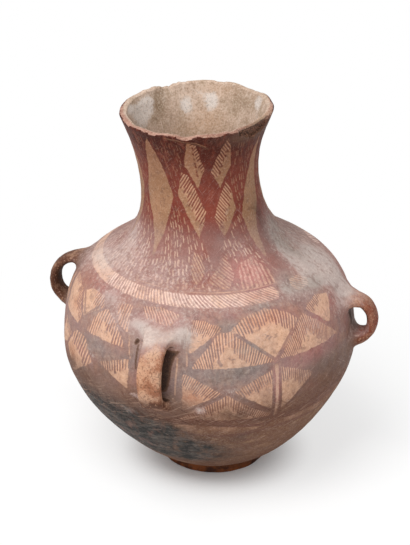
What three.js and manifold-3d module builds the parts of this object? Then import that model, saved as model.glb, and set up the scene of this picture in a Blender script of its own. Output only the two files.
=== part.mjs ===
// A coil-built clay jar with three strap handles: millimetres, +Z up, origin under the middle of the foot.
import * as THREE from 'three';
import { mergeVertices } from 'three/addons/utils/BufferGeometryUtils.js';
import Module from 'manifold-3d';

const wasm = await Module();
wasm.setup();

const DEG = Math.PI / 180;

// Heights, each counted from the top of the piece below it
const footHeight = 10;
const bowlHeight = 113;        // foot to the widest ring
const shoulderHeight = 105;    // widest ring to the neck joint
const throatHeight = 56;       // neck joint to the waist of the neck
const flareHeight = 68;        // waist of the neck to the mean level of the lip
const rimHeight = 15;          // the last coil, part of the flare
const bodyJointDrop = 20;      // body joint below the widest ring
const lipTilt = 3;             // the lip rises and falls this much about its mean
const lipTiltDirection = 40;   // degrees from +X towards +Y, where the lip is highest

// Outside radii
const footRadius = 50;
const bowlStartRadius = 51.5;
const bellyRadius = 136;
const neckJointRadius = 74;
const waistRadius = 54;
const lipRadius = 69.7;

// Directions of the outside wall, in degrees above level
const bowlStartSlope = 25;
const shoulderSlope = 40;
const lipSlope = 70;

// Fullness of each curve: how far its straight start and end run, as a share of its chord
const bowlFullness = [0.29, 0.24];
const shoulderFullness = [0.66, 0.32];
const throatFullness = [0.24, 0.52];
const flareFullness = [0.45, 0.38];

// Walls
const bodyWall = 7;
const neckWall = 6;
const lipRounding = 2.6;

// Joints between the pieces: a slanted lap, with a thin bed of slip
const slipBed = 0.3;
const lapHeight = 4;

// The hand-built jar leans: everything above the foot moves this way in plan
const leanDirection = 200;     // degrees from +X towards +Y
const bellyShift = 5;
const bellyShiftHeight = 85;
const neckShift = 12.3;
const neckShiftStart = 60;     // above the widest ring
const neckShiftLength = 155;

// Strap handles
// Each has its place round the jar, in degrees from +X towards +Y, and the height of its
// root middles above the widest ring
const handles = {
  handle_left: { angle: 184, top: 64, bottom: 21 },
  handle_right: { angle: 9, top: 52, bottom: 11 },
  handle_front: { angle: 270, top: 59, bottom: -2 },
};
const handleReach = 25;        // outer face beyond the wall, half way down
const handleRise = 9;          // how far the arch swells past its roots
const strapWidth = 23;
const strapThickness = 10;
const strapSquareness = 0.75;  // 1 is an ellipse, less is squarer
const rootFlareWidth = 6;      // extra width and thickness where a strap meets the wall
const rootFlareThickness = 3;
const rootFlareShare = 0.24;   // share of the strap's length
const rootBury = 8;            // depth of a strap's end behind the wall face, before it is cut

// Fineness of the curved faces
const roundSteps = 60;
const bowlRings = 12;
const shoulderRings = 12;
const throatRings = 6;
const flareRings = 6;
const strapSteps = 18;
const strapSides = 16;

// Levels worked out from the heights
const bellyZ = footHeight + bowlHeight;
const neckJointZ = bellyZ + shoulderHeight;
const waistZ = neckJointZ + throatHeight;
const lipZ = waistZ + flareHeight;
const rimZ = lipZ - rimHeight;
const bodyJointZ = bellyZ - bodyJointDrop;

// Outside profile, radius as x and height as y, from the foot joint to the lip
function wallCurve(start, startSlope, end, endSlope, fullness) {
  const chord = start.distanceTo(end);
  const arm = (slope, share) => new THREE.Vector2(Math.cos(slope * DEG), Math.sin(slope * DEG))
    .multiplyScalar(chord * share);
  const first = start.clone().add(arm(startSlope, fullness[0]));
  const second = end.clone().sub(arm(endSlope, fullness[1]));
  return new THREE.CubicBezierCurve(start, first, second, end);
}

const bowlStart = new THREE.Vector2(bowlStartRadius, footHeight);
const belly = new THREE.Vector2(bellyRadius, bellyZ);
const neckJoint = new THREE.Vector2(neckJointRadius, neckJointZ);
const waist = new THREE.Vector2(waistRadius, waistZ);
const lip = new THREE.Vector2(lipRadius, lipZ);
const upright = 90;
const wallCurves = [
  wallCurve(bowlStart, bowlStartSlope, belly, upright, bowlFullness),
  wallCurve(belly, upright, neckJoint, 180 - shoulderSlope, shoulderFullness),
  wallCurve(neckJoint, 180 - shoulderSlope, waist, upright, throatFullness),
  wallCurve(waist, upright, lip, lipSlope, flareFullness),
];

// The wall always climbs, so each height has one radius
function curveAt(z) {
  const last = wallCurves.length - 1;
  const index = wallCurves.findIndex((curve, i) => z <= curve.v3.y || i === last);
  const curve = wallCurves[index];
  let low = 0;
  let high = 1;
  for (let i = 0; i < 40; i += 1) {
    const middle = (low + high) / 2;
    if (curve.getPoint(middle).y < z) low = middle;
    else high = middle;
  }
  return { curve, t: (low + high) / 2 };
}

function outerRadius(z) {
  const { curve, t } = curveAt(z);
  return curve.getPoint(t).x;
}

// The wall thins from the body to the neck across the shoulder
function wallAt(z) {
  return THREE.MathUtils.lerp(bodyWall, neckWall, THREE.MathUtils.smoothstep(z, bellyZ, neckJointZ));
}

function innerRadius(z) {
  const { curve, t } = curveAt(z);
  const tangent = curve.getTangent(t);
  return curve.getPoint(t).x - wallAt(z) / tangent.y;
}

// Middle of the jar at a height
function middleAt(z) {
  const low = bellyShift * THREE.MathUtils.smoothstep(z, 0, bellyShiftHeight);
  const start = bellyZ + neckShiftStart;
  const high = neckShift * THREE.MathUtils.smoothstep(z, start, start + neckShiftLength);
  return new THREE.Vector2(Math.cos(leanDirection * DEG), Math.sin(leanDirection * DEG))
    .multiplyScalar(low + high);
}

// A round piece from an outline of radius and height, set on the leaning middle
function turned(outline) {
  const geometry = new THREE.LatheGeometry(outline, roundSteps);
  geometry.rotateX(Math.PI / 2);
  const position = geometry.attributes.position;
  for (let i = 0; i < position.count; i += 1) {
    const middle = middleAt(position.getZ(i));
    position.setX(i, position.getX(i) + middle.x);
    position.setY(i, position.getY(i) + middle.y);
  }
  return geometry;
}

// Heights spread evenly between two levels
function levels(from, to, count) {
  return Array.from({ length: count + 1 }, (_, i) => from + ((to - from) * i) / count);
}

// A ring of wall between two joints, each given as the heights of its outer and inner edge
function wallRing(bottom, top, rings) {
  const outside = levels(bottom.outer, top.outer, rings).map((z) => new THREE.Vector2(outerRadius(z), z));
  const inside = levels(top.inner, bottom.inner, rings).map((z) => new THREE.Vector2(innerRadius(z), z));
  return [...outside, ...inside, outside[0].clone()];
}

// A slanted lap: the piece above hangs over the outer edge of the piece below
function lap(z) {
  const below = { outer: z - lapHeight / 2, inner: z + lapHeight / 2 };
  const above = { outer: below.outer + slipBed, inner: below.inner + slipBed };
  return { below, above };
}

const bodyLap = lap(bodyJointZ);
const neckLap = lap(neckJointZ);
const rimLap = lap(rimZ);
const footSeat = { outer: footHeight + slipBed, inner: footHeight + slipBed };

function footDisc() {
  return turned([
    new THREE.Vector2(0, 0),
    new THREE.Vector2(footRadius, 0),
    new THREE.Vector2(footRadius, footHeight),
    new THREE.Vector2(0, footHeight),
  ]);
}

// The lip tilts: the rim grows taller on one side, and its flare runs on as it grows
function tilted(geometry) {
  const position = geometry.attributes.position;
  for (let i = 0; i < position.count; i += 1) {
    const z = position.getZ(i);
    const middle = middleAt(z);
    const out = new THREE.Vector2(position.getX(i), position.getY(i)).sub(middle);
    const share = THREE.MathUtils.smoothstep(z, rimZ + lapHeight, lipZ);
    const lift = lipTilt * Math.cos(out.angle() - lipTiltDirection * DEG) * share;
    out.setLength(out.length() + lift / Math.tan(lipSlope * DEG));
    position.setXYZ(i, middle.x + out.x, middle.y + out.y, z + lift);
  }
  return geometry;
}

// The rim's top is a half round between the outer and the inner face
function rimOutline() {
  const outside = levels(rimLap.above.outer, lipZ - lipRounding, flareRings / 2)
    .map((z) => new THREE.Vector2(outerRadius(z), z));
  const inside = levels(lipZ - lipRounding, rimLap.above.inner, flareRings / 2)
    .map((z) => new THREE.Vector2(innerRadius(z), z));
  const outerEdge = outside[outside.length - 1];
  const innerEdge = inside[0];
  const topMiddle = (outerEdge.x + innerEdge.x) / 2;
  const halfTop = (outerEdge.x - innerEdge.x) / 2;
  const crown = [30, 60, 90, 120, 150].map((angle) => new THREE.Vector2(
    topMiddle + halfTop * Math.cos(angle * DEG),
    lipZ - lipRounding + lipRounding * Math.sin(angle * DEG),
  ));
  return [...outside, ...crown, ...inside, outside[0].clone()];
}

// A mesh as a solid that can be cut, and back
function toSolid(geometry) {
  const bare = geometry.clone();
  bare.deleteAttribute('normal');
  bare.deleteAttribute('uv');
  const merged = mergeVertices(bare, 1e-4);
  return new wasm.Manifold(new wasm.Mesh({
    numProp: 3,
    vertProperties: new Float32Array(merged.attributes.position.array),
    triVerts: new Uint32Array(merged.index.array),
  }));
}

function toGeometry(solid) {
  const mesh = solid.getMesh();
  const geometry = new THREE.BufferGeometry();
  geometry.setAttribute('position', new THREE.BufferAttribute(mesh.vertProperties, 3));
  geometry.setIndex(new THREE.BufferAttribute(mesh.triVerts, 1));
  geometry.computeVertexNormals();
  return geometry;
}

// The jar's outside with a bed of slip round it, which the straps are cut back to
function bodyBlank() {
  const heights = [
    ...levels(footSeat.outer, bodyLap.below.outer, bowlRings),
    ...levels(bodyLap.above.outer, neckLap.below.outer, shoulderRings),
  ];
  const outside = heights.map((z) => new THREE.Vector2(outerRadius(z) + slipBed, z));
  return toSolid(turned([
    new THREE.Vector2(0, footSeat.outer),
    ...outside,
    new THREE.Vector2(0, neckLap.below.outer),
  ]));
}

// Middle line of a strap in its upright plane: distance from the jar's middle as x, height as y
function strapArch(topZ, bottomZ) {
  const top = new THREE.Vector2(outerRadius(topZ) - rootBury, topZ);
  const bottom = new THREE.Vector2(outerRadius(bottomZ) - rootBury, bottomZ);
  const farthest = outerRadius((topZ + bottomZ) / 2) + handleReach - strapThickness / 2;
  const pull = ((farthest - (top.x + bottom.x) / 8) * 4) / 3;
  return new THREE.CubicBezierCurve(
    top,
    new THREE.Vector2(pull, topZ + handleRise),
    new THREE.Vector2(pull, bottomZ - handleRise),
    bottom,
  );
}

// A strap along the arch, wider and thicker at both roots, on the X side of the jar
function strap(arch) {
  const points = [];
  for (let i = 0; i <= strapSteps; i += 1) {
    const along = i / strapSteps;
    const centre = arch.getPointAt(along);
    const tangent = arch.getTangentAt(along);
    const end = Math.min(along, 1 - along) / rootFlareShare;
    const flare = 1 - THREE.MathUtils.smoothstep(end, 0, 1);
    const halfWidth = (strapWidth + 2 * rootFlareWidth * flare) / 2;
    const halfThickness = (strapThickness + 2 * rootFlareThickness * flare) / 2;
    for (let j = 0; j < strapSides; j += 1) {
      const angle = (2 * Math.PI * j) / strapSides;
      const across = Math.sign(Math.cos(angle)) * Math.abs(Math.cos(angle)) ** strapSquareness;
      const out = Math.sign(Math.sin(angle)) * Math.abs(Math.sin(angle)) ** strapSquareness;
      points.push(
        centre.x - tangent.y * halfThickness * out,
        halfWidth * across,
        centre.y + tangent.x * halfThickness * out,
      );
    }
  }
  const faces = [];
  for (let i = 0; i < strapSteps; i += 1) {
    for (let j = 0; j < strapSides; j += 1) {
      const a = i * strapSides + j;
      const b = i * strapSides + ((j + 1) % strapSides);
      faces.push(a, b, b + strapSides, a, b + strapSides, a + strapSides);
    }
  }
  const last = strapSteps * strapSides;
  for (let j = 1; j < strapSides - 1; j += 1) {
    faces.push(0, j + 1, j);
    faces.push(last, last + j, last + j + 1);
  }
  const geometry = new THREE.BufferGeometry();
  geometry.setAttribute('position', new THREE.BufferAttribute(new Float32Array(points), 3));
  geometry.setIndex(faces);
  return geometry;
}

// A strap turned to its place round the jar and cut back to the wall
function handle({ angle, top, bottom }, blank) {
  const topZ = bellyZ + top;
  const bottomZ = bellyZ + bottom;
  const geometry = strap(strapArch(topZ, bottomZ));
  geometry.rotateZ(angle * DEG);
  const middle = middleAt((topZ + bottomZ) / 2);
  geometry.translate(middle.x, middle.y, 0);
  const pieces = toSolid(geometry).subtract(blank).decompose();
  pieces.sort((a, b) => b.volume() - a.volume());
  return toGeometry(pieces[0]);
}

// Fired clay in the colours of each zone
function clay(colour, roughness) {
  return new THREE.MeshStandardMaterial({ color: colour, roughness, metalness: 0 });
}

const footClay = clay('#5b3a2e', 0.85);
const bodyClay = clay('#a87f62', 0.8);
const neckClay = clay('#6e342b', 0.75);
const rimClay = clay('#9b6a5c', 0.85);
const handleClay = clay('#8a553c', 0.85);

const group = new THREE.Group();

function add(name, geometry, material) {
  const mesh = new THREE.Mesh(geometry, material);
  mesh.name = name;
  group.add(mesh);
}

add('foot_disc', footDisc(), footClay);
add('lower_body', turned(wallRing(footSeat, bodyLap.below, bowlRings)), bodyClay);
add('upper_body', turned(wallRing(bodyLap.above, neckLap.below, shoulderRings)), bodyClay);
add('neck', turned(wallRing(neckLap.above, rimLap.below, throatRings + flareRings)), neckClay);
add('rim', tilted(turned(rimOutline())), rimClay);

const blank = bodyBlank();
for (const [name, place] of Object.entries(handles)) {
  add(name, handle(place, blank), handleClay);
}

export default group;
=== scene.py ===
import math

import bpy
import numpy as np
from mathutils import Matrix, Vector


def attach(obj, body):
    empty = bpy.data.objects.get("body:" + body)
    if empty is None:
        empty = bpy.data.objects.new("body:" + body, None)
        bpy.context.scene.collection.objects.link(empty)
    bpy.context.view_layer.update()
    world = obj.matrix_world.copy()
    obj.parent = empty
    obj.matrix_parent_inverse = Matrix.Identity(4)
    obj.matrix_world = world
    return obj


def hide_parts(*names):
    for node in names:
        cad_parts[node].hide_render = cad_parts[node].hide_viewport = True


# The looks of a coil-built, painted clay jar. Lengths are millimetres until a mesh is made, then metres.
# "turn" is the angle round the jar in degrees, from the front strap at -Y towards +X.
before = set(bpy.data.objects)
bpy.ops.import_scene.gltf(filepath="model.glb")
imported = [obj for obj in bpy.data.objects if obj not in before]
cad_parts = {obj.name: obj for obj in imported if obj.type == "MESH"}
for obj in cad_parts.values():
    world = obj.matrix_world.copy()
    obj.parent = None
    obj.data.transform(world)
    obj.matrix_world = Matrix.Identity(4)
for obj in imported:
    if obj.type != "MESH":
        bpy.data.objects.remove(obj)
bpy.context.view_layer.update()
MM = 0.001

# Driving dimensions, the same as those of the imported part
FOOT_TOP, BELLY_Z, NECK_Z, WAIST_Z, LIP_Z = 10.0, 123.0, 228.0, 284.0, 352.0
FOOT_RADIUS, BOWL_START, BELLY, NECK, WAIST, LIP = 50.0, 51.5, 136.0, 74.0, 54.0, 69.7
BOWL_SLOPE, SHOULDER_SLOPE, UPRIGHT, LIP_SLOPE = 25.0, 140.0, 90.0, 70.0
BOWL_FULL, SHOULDER_FULL, THROAT_FULL, FLARE_FULL = (0.29, 0.24), (0.66, 0.32), (0.24, 0.52), (0.45, 0.38)
BODY_JOINT, RIM_JOINT, LAP, BED = 103.0, 337.0, 4.0, 0.3
BODY_WALL, NECK_WALL, LIP_ROUNDING = 7.0, 6.0, 2.6
LIP_TILT, TILT_TURN = 3.0, 130.0
LEAN_TURN = 290.0
BELLY_SHIFT, BELLY_SHIFT_Z = 5.0, 85.0
NECK_SHIFT, NECK_SHIFT_FROM, NECK_SHIFT_TO = 12.3, 183.0, 338.0
STRAP_REACH, STRAP_RISE, STRAP_WIDTH, STRAP_THICKNESS = 25.0, 9.0, 23.0, 10.0
ROOT_WIDTH, ROOT_THICKNESS, ROOT_SHARE, ROOT_BURY = 6.0, 3.0, 0.24, 8.0

# The straps. "upper" and "lower" say how far each end's fillet spreads over the wall outside the arch,
# inside it, and more at the sides. "inner" is how much fuller the inner face is. "round" is 1 for an oval
# section and less for a squarer one. Painted shade and dirt lie on the inner face, from its upper to its
# lower end, and dust near the lower end
STRAPS = {
    "left": {"turn": 274.0, "top": 187.0, "bottom": 144.0, "upper": (13.0, 4.0, 3.0),
             "lower": (9.0, 5.0, 2.0),
             "inner": 1.1, "round": 0.95, "shade_and_dirt": (12.2, 11.6), "dust": 0.2},
    "right": {"turn": 99.0, "top": 175.0, "bottom": 134.0, "upper": (16.0, 7.0, 12.0),
              "lower": (9.0, 12.0, 5.0),
              "inner": 1.3, "round": 0.95, "shade_and_dirt": (13.2, 8.0), "dust": 0.55},
    "front": {"turn": 0.0, "top": 182.0, "bottom": 121.0, "upper": (17.0, 5.0, 3.0),
              "lower": (17.0, 5.0, 3.0),
              "inner": 1.15, "round": 0.62, "shade_and_dirt": (14.0, 14.0), "dust": 0.0},
}

# Fineness of the visible meshes
COLUMNS, FOOT_COLUMNS, STRAP_SIDES, STRAP_ROWS = 560, 300, 56, 260
ROW_STEP, INSIDE_STEP, RIM_STEP, RIM_INSIDE_STEP = 1.5, 5.0, 0.9, 1.2
CROWN_ROWS, ROOT_ROWS, FILLET_STEPS = 13, 36, 9
CURVE_STEPS, ARCH_STEPS = 400, 2000
SEAM_GAP = 0.02

# Values that lie outside every field, stroke and line, and the middle of what the photograph shows
FAR, FAR_LINE = -20.0, -12.0
SEEN_TURN = 20


def smooth(value, low, high):
    """0 up to low and 1 from high on, with a smooth rise between them."""
    share = np.clip((value - low) / (high - low), 0, 1)
    return share * share * (3 - 2 * share)


def span(value, start, full, fade, end):
    """1 from full to fade, and 0 before start and after end."""
    return smooth(value, start, full) * (1 - smooth(value, fade, end))


def curve(start, first, second, end, steps):
    """Points of a cubic curve from start to end, pulled by the two points between."""
    t = np.linspace(0, 1, steps)[:, None]
    return (1 - t) ** 3 * start + 3 * (1 - t) ** 2 * t * first + 3 * (1 - t) * t * t * second + t ** 3 * end


def arm(slope):
    return np.array([math.cos(math.radians(slope)), math.sin(math.radians(slope))])


def wall_curve(start, start_slope, end, end_slope, fullness):
    """Points of the outside profile between two joints, as radius and height."""
    start, end = np.array(start), np.array(end)
    chord = np.linalg.norm(end - start)
    first = start + arm(start_slope) * chord * fullness[0]
    second = end - arm(end_slope) * chord * fullness[1]
    return curve(start, first, second, end, CURVE_STEPS)


PROFILE = np.vstack([
    wall_curve((BOWL_START, FOOT_TOP), BOWL_SLOPE, (BELLY, BELLY_Z), UPRIGHT, BOWL_FULL),
    wall_curve((BELLY, BELLY_Z), UPRIGHT, (NECK, NECK_Z), SHOULDER_SLOPE, SHOULDER_FULL)[1:],
    wall_curve((NECK, NECK_Z), SHOULDER_SLOPE, (WAIST, WAIST_Z), UPRIGHT, THROAT_FULL)[1:],
    wall_curve((WAIST, WAIST_Z), UPRIGHT, (LIP, LIP_Z), LIP_SLOPE, FLARE_FULL)[1:],
])
STEPS = np.hypot(*np.diff(PROFILE, axis=0).T)
ARC = np.concatenate([[0], np.cumsum(STEPS)])
CLIMB = np.gradient(PROFILE[:, 1], ARC)


def radius_at(z):
    """Outside radius of the true wall at a height."""
    return np.interp(z, PROFILE[:, 1], PROFILE[:, 0])


def arc_at(z):
    """Length along the wall from the foot joint to a height."""
    return np.interp(z, PROFILE[:, 1], ARC)


def height_at(arc):
    """Height of a length along the wall."""
    return np.interp(arc, ARC, PROFILE[:, 1])


def wall_at(z):
    """Horizontal thickness of the wall."""
    wall = BODY_WALL + (NECK_WALL - BODY_WALL) * smooth(z, BELLY_Z, NECK_Z)
    return wall / np.interp(z, PROFILE[:, 1], CLIMB)


def direction(turn):
    """The level direction, x and y, at a turn."""
    angle = np.radians(turn)
    return np.sin(angle), -np.cos(angle)


def middle_at(z):
    """The middle of each level, x and y. It moves with the height, because the jar leans."""
    shift = BELLY_SHIFT * smooth(z, 0, BELLY_SHIFT_Z)
    shift = shift + NECK_SHIFT * smooth(z, NECK_SHIFT_FROM, NECK_SHIFT_TO)
    x, y = direction(LEAN_TURN)
    return x * shift, y * shift


def lattice_noise(points, size, seed):
    """Smooth noise from -1 to 1 whose lumps are about size across, the same on every run."""
    scaled = points / size
    cell = np.floor(scaled).astype(np.int64)
    share = scaled - cell
    share = share * share * (3 - 2 * share)
    total = np.zeros(points.shape[:-1])
    for corner in range(8):
        step = np.array([corner & 1, corner >> 1 & 1, corner >> 2 & 1])
        code = (cell + step) @ np.array([374761393, 668265263, 362437]) + seed * 69069
        code = (code ^ (code >> 13)) * 1274126177 & 0x7FFFFFFF
        code = (code ^ (code >> 16)) & 0xFFFF
        weight = np.prod(np.where(step, share, 1 - share), axis=-1)
        total += weight * (code / 32767.5 - 1)
    return total


def turn_gap(turn, other):
    """The shorter way round from other to turn, in degrees."""
    return (turn - other + 180) % 360 - 180


def level_points(turn, z, radius):
    """Points at a radius from the axis, before the lean."""
    x, y = direction(turn)
    return np.stack([x * radius, y * radius, z], -1)


def leaned_points(turn, z, radius, height):
    """Points at a radius from the middle of the level z, set at a height."""
    x, y = direction(turn)
    mx, my = middle_at(z)
    return np.stack([mx + x * radius, my + y * radius, height], -1)


# The worn lip: (turn, half width in degrees, depth in mm, how sharp its sides are)
LIP_DIPS = [
    (-135, 7, 2.4, 0.35), (-141, 5, 1.2, 0.6), (-124, 3, -0.9, 0.3), (-108, 6, 0.6, 0.3),
    (-165, 14, -0.6, 0.1), (150, 20, 2.6, 0.05), (120, 12, 1.2, 0.1), (12, 7, 2.2, 0.15), (18, 3, 0.8, 0.3),
    (-12, 8, 0.9, 0.3), (-38, 8, 0.9, 0.2), (37, 5, 0.9, 0.3), (49, 4, 0.8, 0.4), (60, 9, 0.5, 0.3),
    (71, 4, 0.5, 0.4), (88, 6, 0.5, 0.4), (-66, 10, 0.7, 0.2), (-88, 5, 0.6, 0.5), (180, 5, 0.8, 0.6),
    (-150, 3, 0.7, 0.6), (200, 8, 0.5, 0.2),
]


def lip_drop(turn):
    """How far wear has lowered the lip."""
    ring = np.stack([*direction(turn), np.zeros_like(turn)], -1) * LIP
    total = 0.5 + 0.35 * lattice_noise(ring, 9.0, 3) + 0.25 * lattice_noise(ring, 3.2, 4)
    for at, half, depth, sharpness in LIP_DIPS:
        gap = np.abs(turn_gap(turn, at)) / half
        total = total + depth * (1 - smooth(gap, sharpness, 1.0))
    return np.maximum(total, 0)


# Flakes off the outer edge of the lip: (turn, half width in degrees, height down from the lip, depth)
LIP_FLAKES = [
    (72, 23, 12.0, 3.4), (90, 9, 6.0, 1.6), (33, 7, 2.6, 1.0), (12, 6, 3.4, 1.2), (-14, 4, 2.0, 0.8),
    (-45, 6, 2.2, 0.8), (-128, 6, 3.5, 1.2), (160, 7, 2.8, 0.9), (205, 9, 3.2, 1.1), (-75, 4, 2.0, 0.7),
]


def lip_flake(turn, z):
    """How deep the outer face has flaked away near the lip."""
    ring = np.stack([*direction(turn), z / LIP], -1) * LIP
    ragged = 0.3 * lattice_noise(ring, 6.0, 8) + 0.12 * lattice_noise(ring, 2.4, 9)
    total = np.zeros_like(turn + z)
    for at, half, height, depth in LIP_FLAKES:
        across = np.abs(turn_gap(turn, at)) / half
        down = (LIP_Z - z) / height
        inside = 1 - np.hypot(across, np.maximum(down, 0)) + ragged
        total = np.maximum(total, depth * smooth(inside, 0.0, 0.22))
    return total


# Dents and pits in the outer wall: (turn, height, radius, depth)
PITS = [
    (-9.3, 173, 2.2, 1.6), (8, 139, 1.6, 0.9), (-31.5, 146, 2.4, 0.5), (16.5, 118, 2.2, 0.6),
    (28.5, 138, 2.0, 0.5), (70, 190, 2.6, 0.4), (-52, 205, 1.6, 0.4), (140, 150, 2.5, 0.7),
    (222, 170, 2.2, 0.6), (250, 120, 3.0, 0.7), (185, 205, 2.0, 0.6), (-6, 300, 1.4, 0.5),
    (34, 262, 1.3, 0.4), (-31, 258, 1.2, 0.4), (165, 270, 1.6, 0.5),
]


# Height of one coil in the wall, and how far the outside may stand out from the true curve
COIL_HEIGHT, MOST_OUT = 13.0, 1.3


def full_side(turn):
    """1 on the sides and the front, which are fullest, and 0 at the back."""
    return 1 - smooth(np.abs(turn_gap(turn, SEEN_TURN)), 105, 140)


def relief(turn, z, points):
    """How far the hand-made, worn outside lies within the true curve."""
    total = 0.8 - 1.1 * full_side(turn)
    total = total + 0.45 * lattice_noise(points, 46.0, 11) + 0.22 * lattice_noise(points, 17.0, 12)
    tall = points * np.array([1.0, 1.0, 0.35])
    total = total + 0.12 * lattice_noise(tall, 6.0, 13)
    coil = np.sin(arc_at(z) * 2 * math.pi / COIL_HEIGHT + 1.5 * lattice_noise(points, 60.0, 14))
    total = total + 0.06 * coil
    for at, height, size, depth in PITS:
        across = np.radians(turn_gap(turn, at)) * radius_at(height)
        away = np.hypot(across, arc_at(z) - arc_at(height)) / size
        total = total + depth * (1 - smooth(away, 0.2, 1.0))
    return np.maximum(total, -MOST_OUT)


def lip_change(turn, z):
    """How far the tilt of the lip lifts a point, how much it widens there, and how far wear lowers it."""
    share = smooth(z, RIM_JOINT + LAP, LIP_Z)
    lift = LIP_TILT * np.cos(np.radians(turn - TILT_TURN)) * share
    return lift, lift / math.tan(math.radians(LIP_SLOPE)), lip_drop(turn) * share


def outer_point(turn, z, depth=0.0):
    """A point on the visible outside. depth is measured inwards from it."""
    turn, z = np.broadcast_arrays(np.asarray(turn, float), np.asarray(z, float))
    lift, widening, drop = lip_change(turn, z)
    plain = radius_at(z) + widening
    radius = plain - relief(turn, z, level_points(turn, z, plain)) - lip_flake(turn, z) - depth
    return leaned_points(turn, z, radius, z + lift - drop)


def inner_point(turn, z):
    """A point on the inside face of the wall."""
    turn, z = np.broadcast_arrays(np.asarray(turn, float), np.asarray(z, float))
    lift, widening, drop = lip_change(turn, z)
    plain = radius_at(z) - wall_at(z) + widening
    true = level_points(turn, z, plain)
    bumps = 0.5 * lattice_noise(true, 30.0, 21) + 0.25 * lattice_noise(true, 9.0, 22)
    grooves = 0.3 * np.sin(z * 2 * math.pi / 9.0 + 2 * lattice_noise(true, 50.0, 23))
    radius = plain + bumps + grooves * (1 - smooth(z, RIM_JOINT - 4, LIP_Z - 4))
    return leaned_points(turn, z, radius, z + lift - drop)


# The painted design. Each shape is a list of (turn, height) corners
BAND_LOW, BAND_HIGH = 204.5, 212.0
STROKE = 2.9
BACK_UNITS = [117.5 + 32.5 * k for k in range(5)]
NECK_GROUPS = (27, 209)


def shape(corners, fringed=(), depth=10.0, focus=None, pitch=STROKE, slant=0.0):
    """An unpainted field. fringed are its edges that carry strokes, by number, and depth is how long the
    strokes are. They are pitch apart and run towards focus, or all at slant degrees from upright."""
    return {"corners": np.array(corners, float), "fringed": fringed, "depth": depth, "focus": focus,
            "pitch": pitch, "slant": slant}


def body_unit(c, s=1.0):
    """The fields of one repeat of the body's design, about the turn c and s times as wide."""
    return [
        shape([(c - 13 * s, 159), (c + 18 * s, 159.5), (c, 188)], (1, 2), 11, (c, 95)),
        shape([(c + 19 * s, 163), (c + 31 * s, 189), (c + 26 * s, 196), (c + 18 * s, 200), (c + 9 * s, 197),
               (c + 3 * s, 190)], (1, 2, 3, 4), 11.5, (c + 19 * s, 120)),
        shape([(c - 18 * s, 106), (c + 17 * s, 106), (c - 0.5 * s, 132)], (1, 2), 9, (c, 50)),
        shape([(c + 3 * s, 136), (c + 16 * s, 113), (c + 16 * s, 151)], (2,), 8, (c + 26 * s, 60)),
        shape([(c + 22 * s, 112), (c + 35 * s, 138), (c + 21 * s, 152)], (1,), 8, (c + 26 * s, 60)),
    ]


# The side in the photograph, corner by corner, then repeats round the back
FIELDS = [
    shape([(12.6, 172), (18.8, 183), (24.5, 191), (19, 195), (13, 196.5)], (2, 3), 12, (8, 140), 2.0),
    shape([(13.8, 159), (44.8, 159.5), (36, 175), (29, 187.5), (24, 187), (18.5, 173)], (1, 2, 3, 4, 5),
          12.5, (27, 95), 2.7),
    shape([(46, 162.5), (59, 188), (54, 196), (45.5, 200), (36, 197), (29.6, 190)], (1, 2, 3, 4), 12.5,
          (45.5, 115), 3.0),
    shape([(48, 160.5), (79, 160.5), (67, 183), (63, 189), (59.5, 186)], (1, 2, 3, 4), 13, (63, 95), 2.3),
    shape([(76, 174), (82, 193), (75, 197), (66, 192)], (2,), 6, (76, 140), 2.4),
    shape([(10.3, 117), (24, 134), (17, 144), (10.3, 152)], (1, 2), 11, (2, 90), 2.2),
    shape([(9, 106.5), (44, 106), (35, 118), (26.5, 131), (17.5, 120)], (1, 2, 3, 4), 9.5, (26.5, 50), 2.4),
    shape([(30, 135.5), (43.8, 113), (43.8, 151)], (2,), 10, (52, 60), 2.3),
    shape([(45.9, 104.5), (46.3, 104.5), (46.3, 156), (45.9, 156)]),
    shape([(48.4, 112), (62.5, 137), (55, 145), (48.1, 151.5)], (1, 2), 10, (52, 60), 2.2),
    shape([(-41, 175.5), (-31, 190.5), (-34, 196.5), (-43, 196), (-47.5, 191)], (1,), 13, pitch=2.8,
          slant=-8),
    shape([(-35.5, 166), (-15.5, 166.5), (-17.5, 174), (-22, 183), (-28, 189.5), (-32.5, 183)],
          (1, 2, 3, 4, 5), 10.5, pitch=3.1, slant=-6),
    shape([(-61, 166), (-44.5, 165.5), (-42.5, 172), (-50.5, 190), (-60, 191)], (2,), 7, pitch=2.8,
          slant=-4),
    shape([(-14.8, 180), (-16.8, 198.5), (-24, 197), (-19.5, 184)], (1, 2), 11, pitch=3.0, slant=-3),
    shape([(-8, 194), (4, 192.5), (6.5, 199), (-2, 202), (-10, 200)], (0, 2, 3), 12, pitch=2.4, slant=35),
    shape([(-12.8, 129), (-12.4, 156), (-19, 150), (-26, 143)], (1, 2), 9.5, (-14, 60), 3.2),
    shape([(-46, 115), (-31.5, 138.5), (-36.5, 157), (-44, 157), (-52.5, 134)], (1, 2), 17, pitch=4.0,
          slant=-24),
    shape([(-62, 128), (-54, 137), (-49, 150), (-58, 156)], (2,), 6, (-58, 60)),
    shape([(-78, 166), (-63, 166), (-69, 188)], (1, 2), 9, (-70, 110)),
    shape([(-61.5, 176), (-55, 192), (-66, 193)], (1,), 6, (-61, 120)),
] + [field for c in BACK_UNITS for field in body_unit(c, 0.9)]

# Ochre lozenges on the neck. Some are hatched, and the rest are plain
LOZENGE = [
    (2, 342), (-3, 330), (-8, 310), (-15, 285), (-14, 272), (-6, 248), (0, 229), (3, 243), (7, 256),
    (12, 270), (17, 286), (13, 305), (7, 325),
]
LOZENGE_TURNS = (-22, -62, -107, 162, 117)


def lozenge(turn):
    return shape([(turn + across, z) for across, z in reversed(LOZENGE)])


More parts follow.
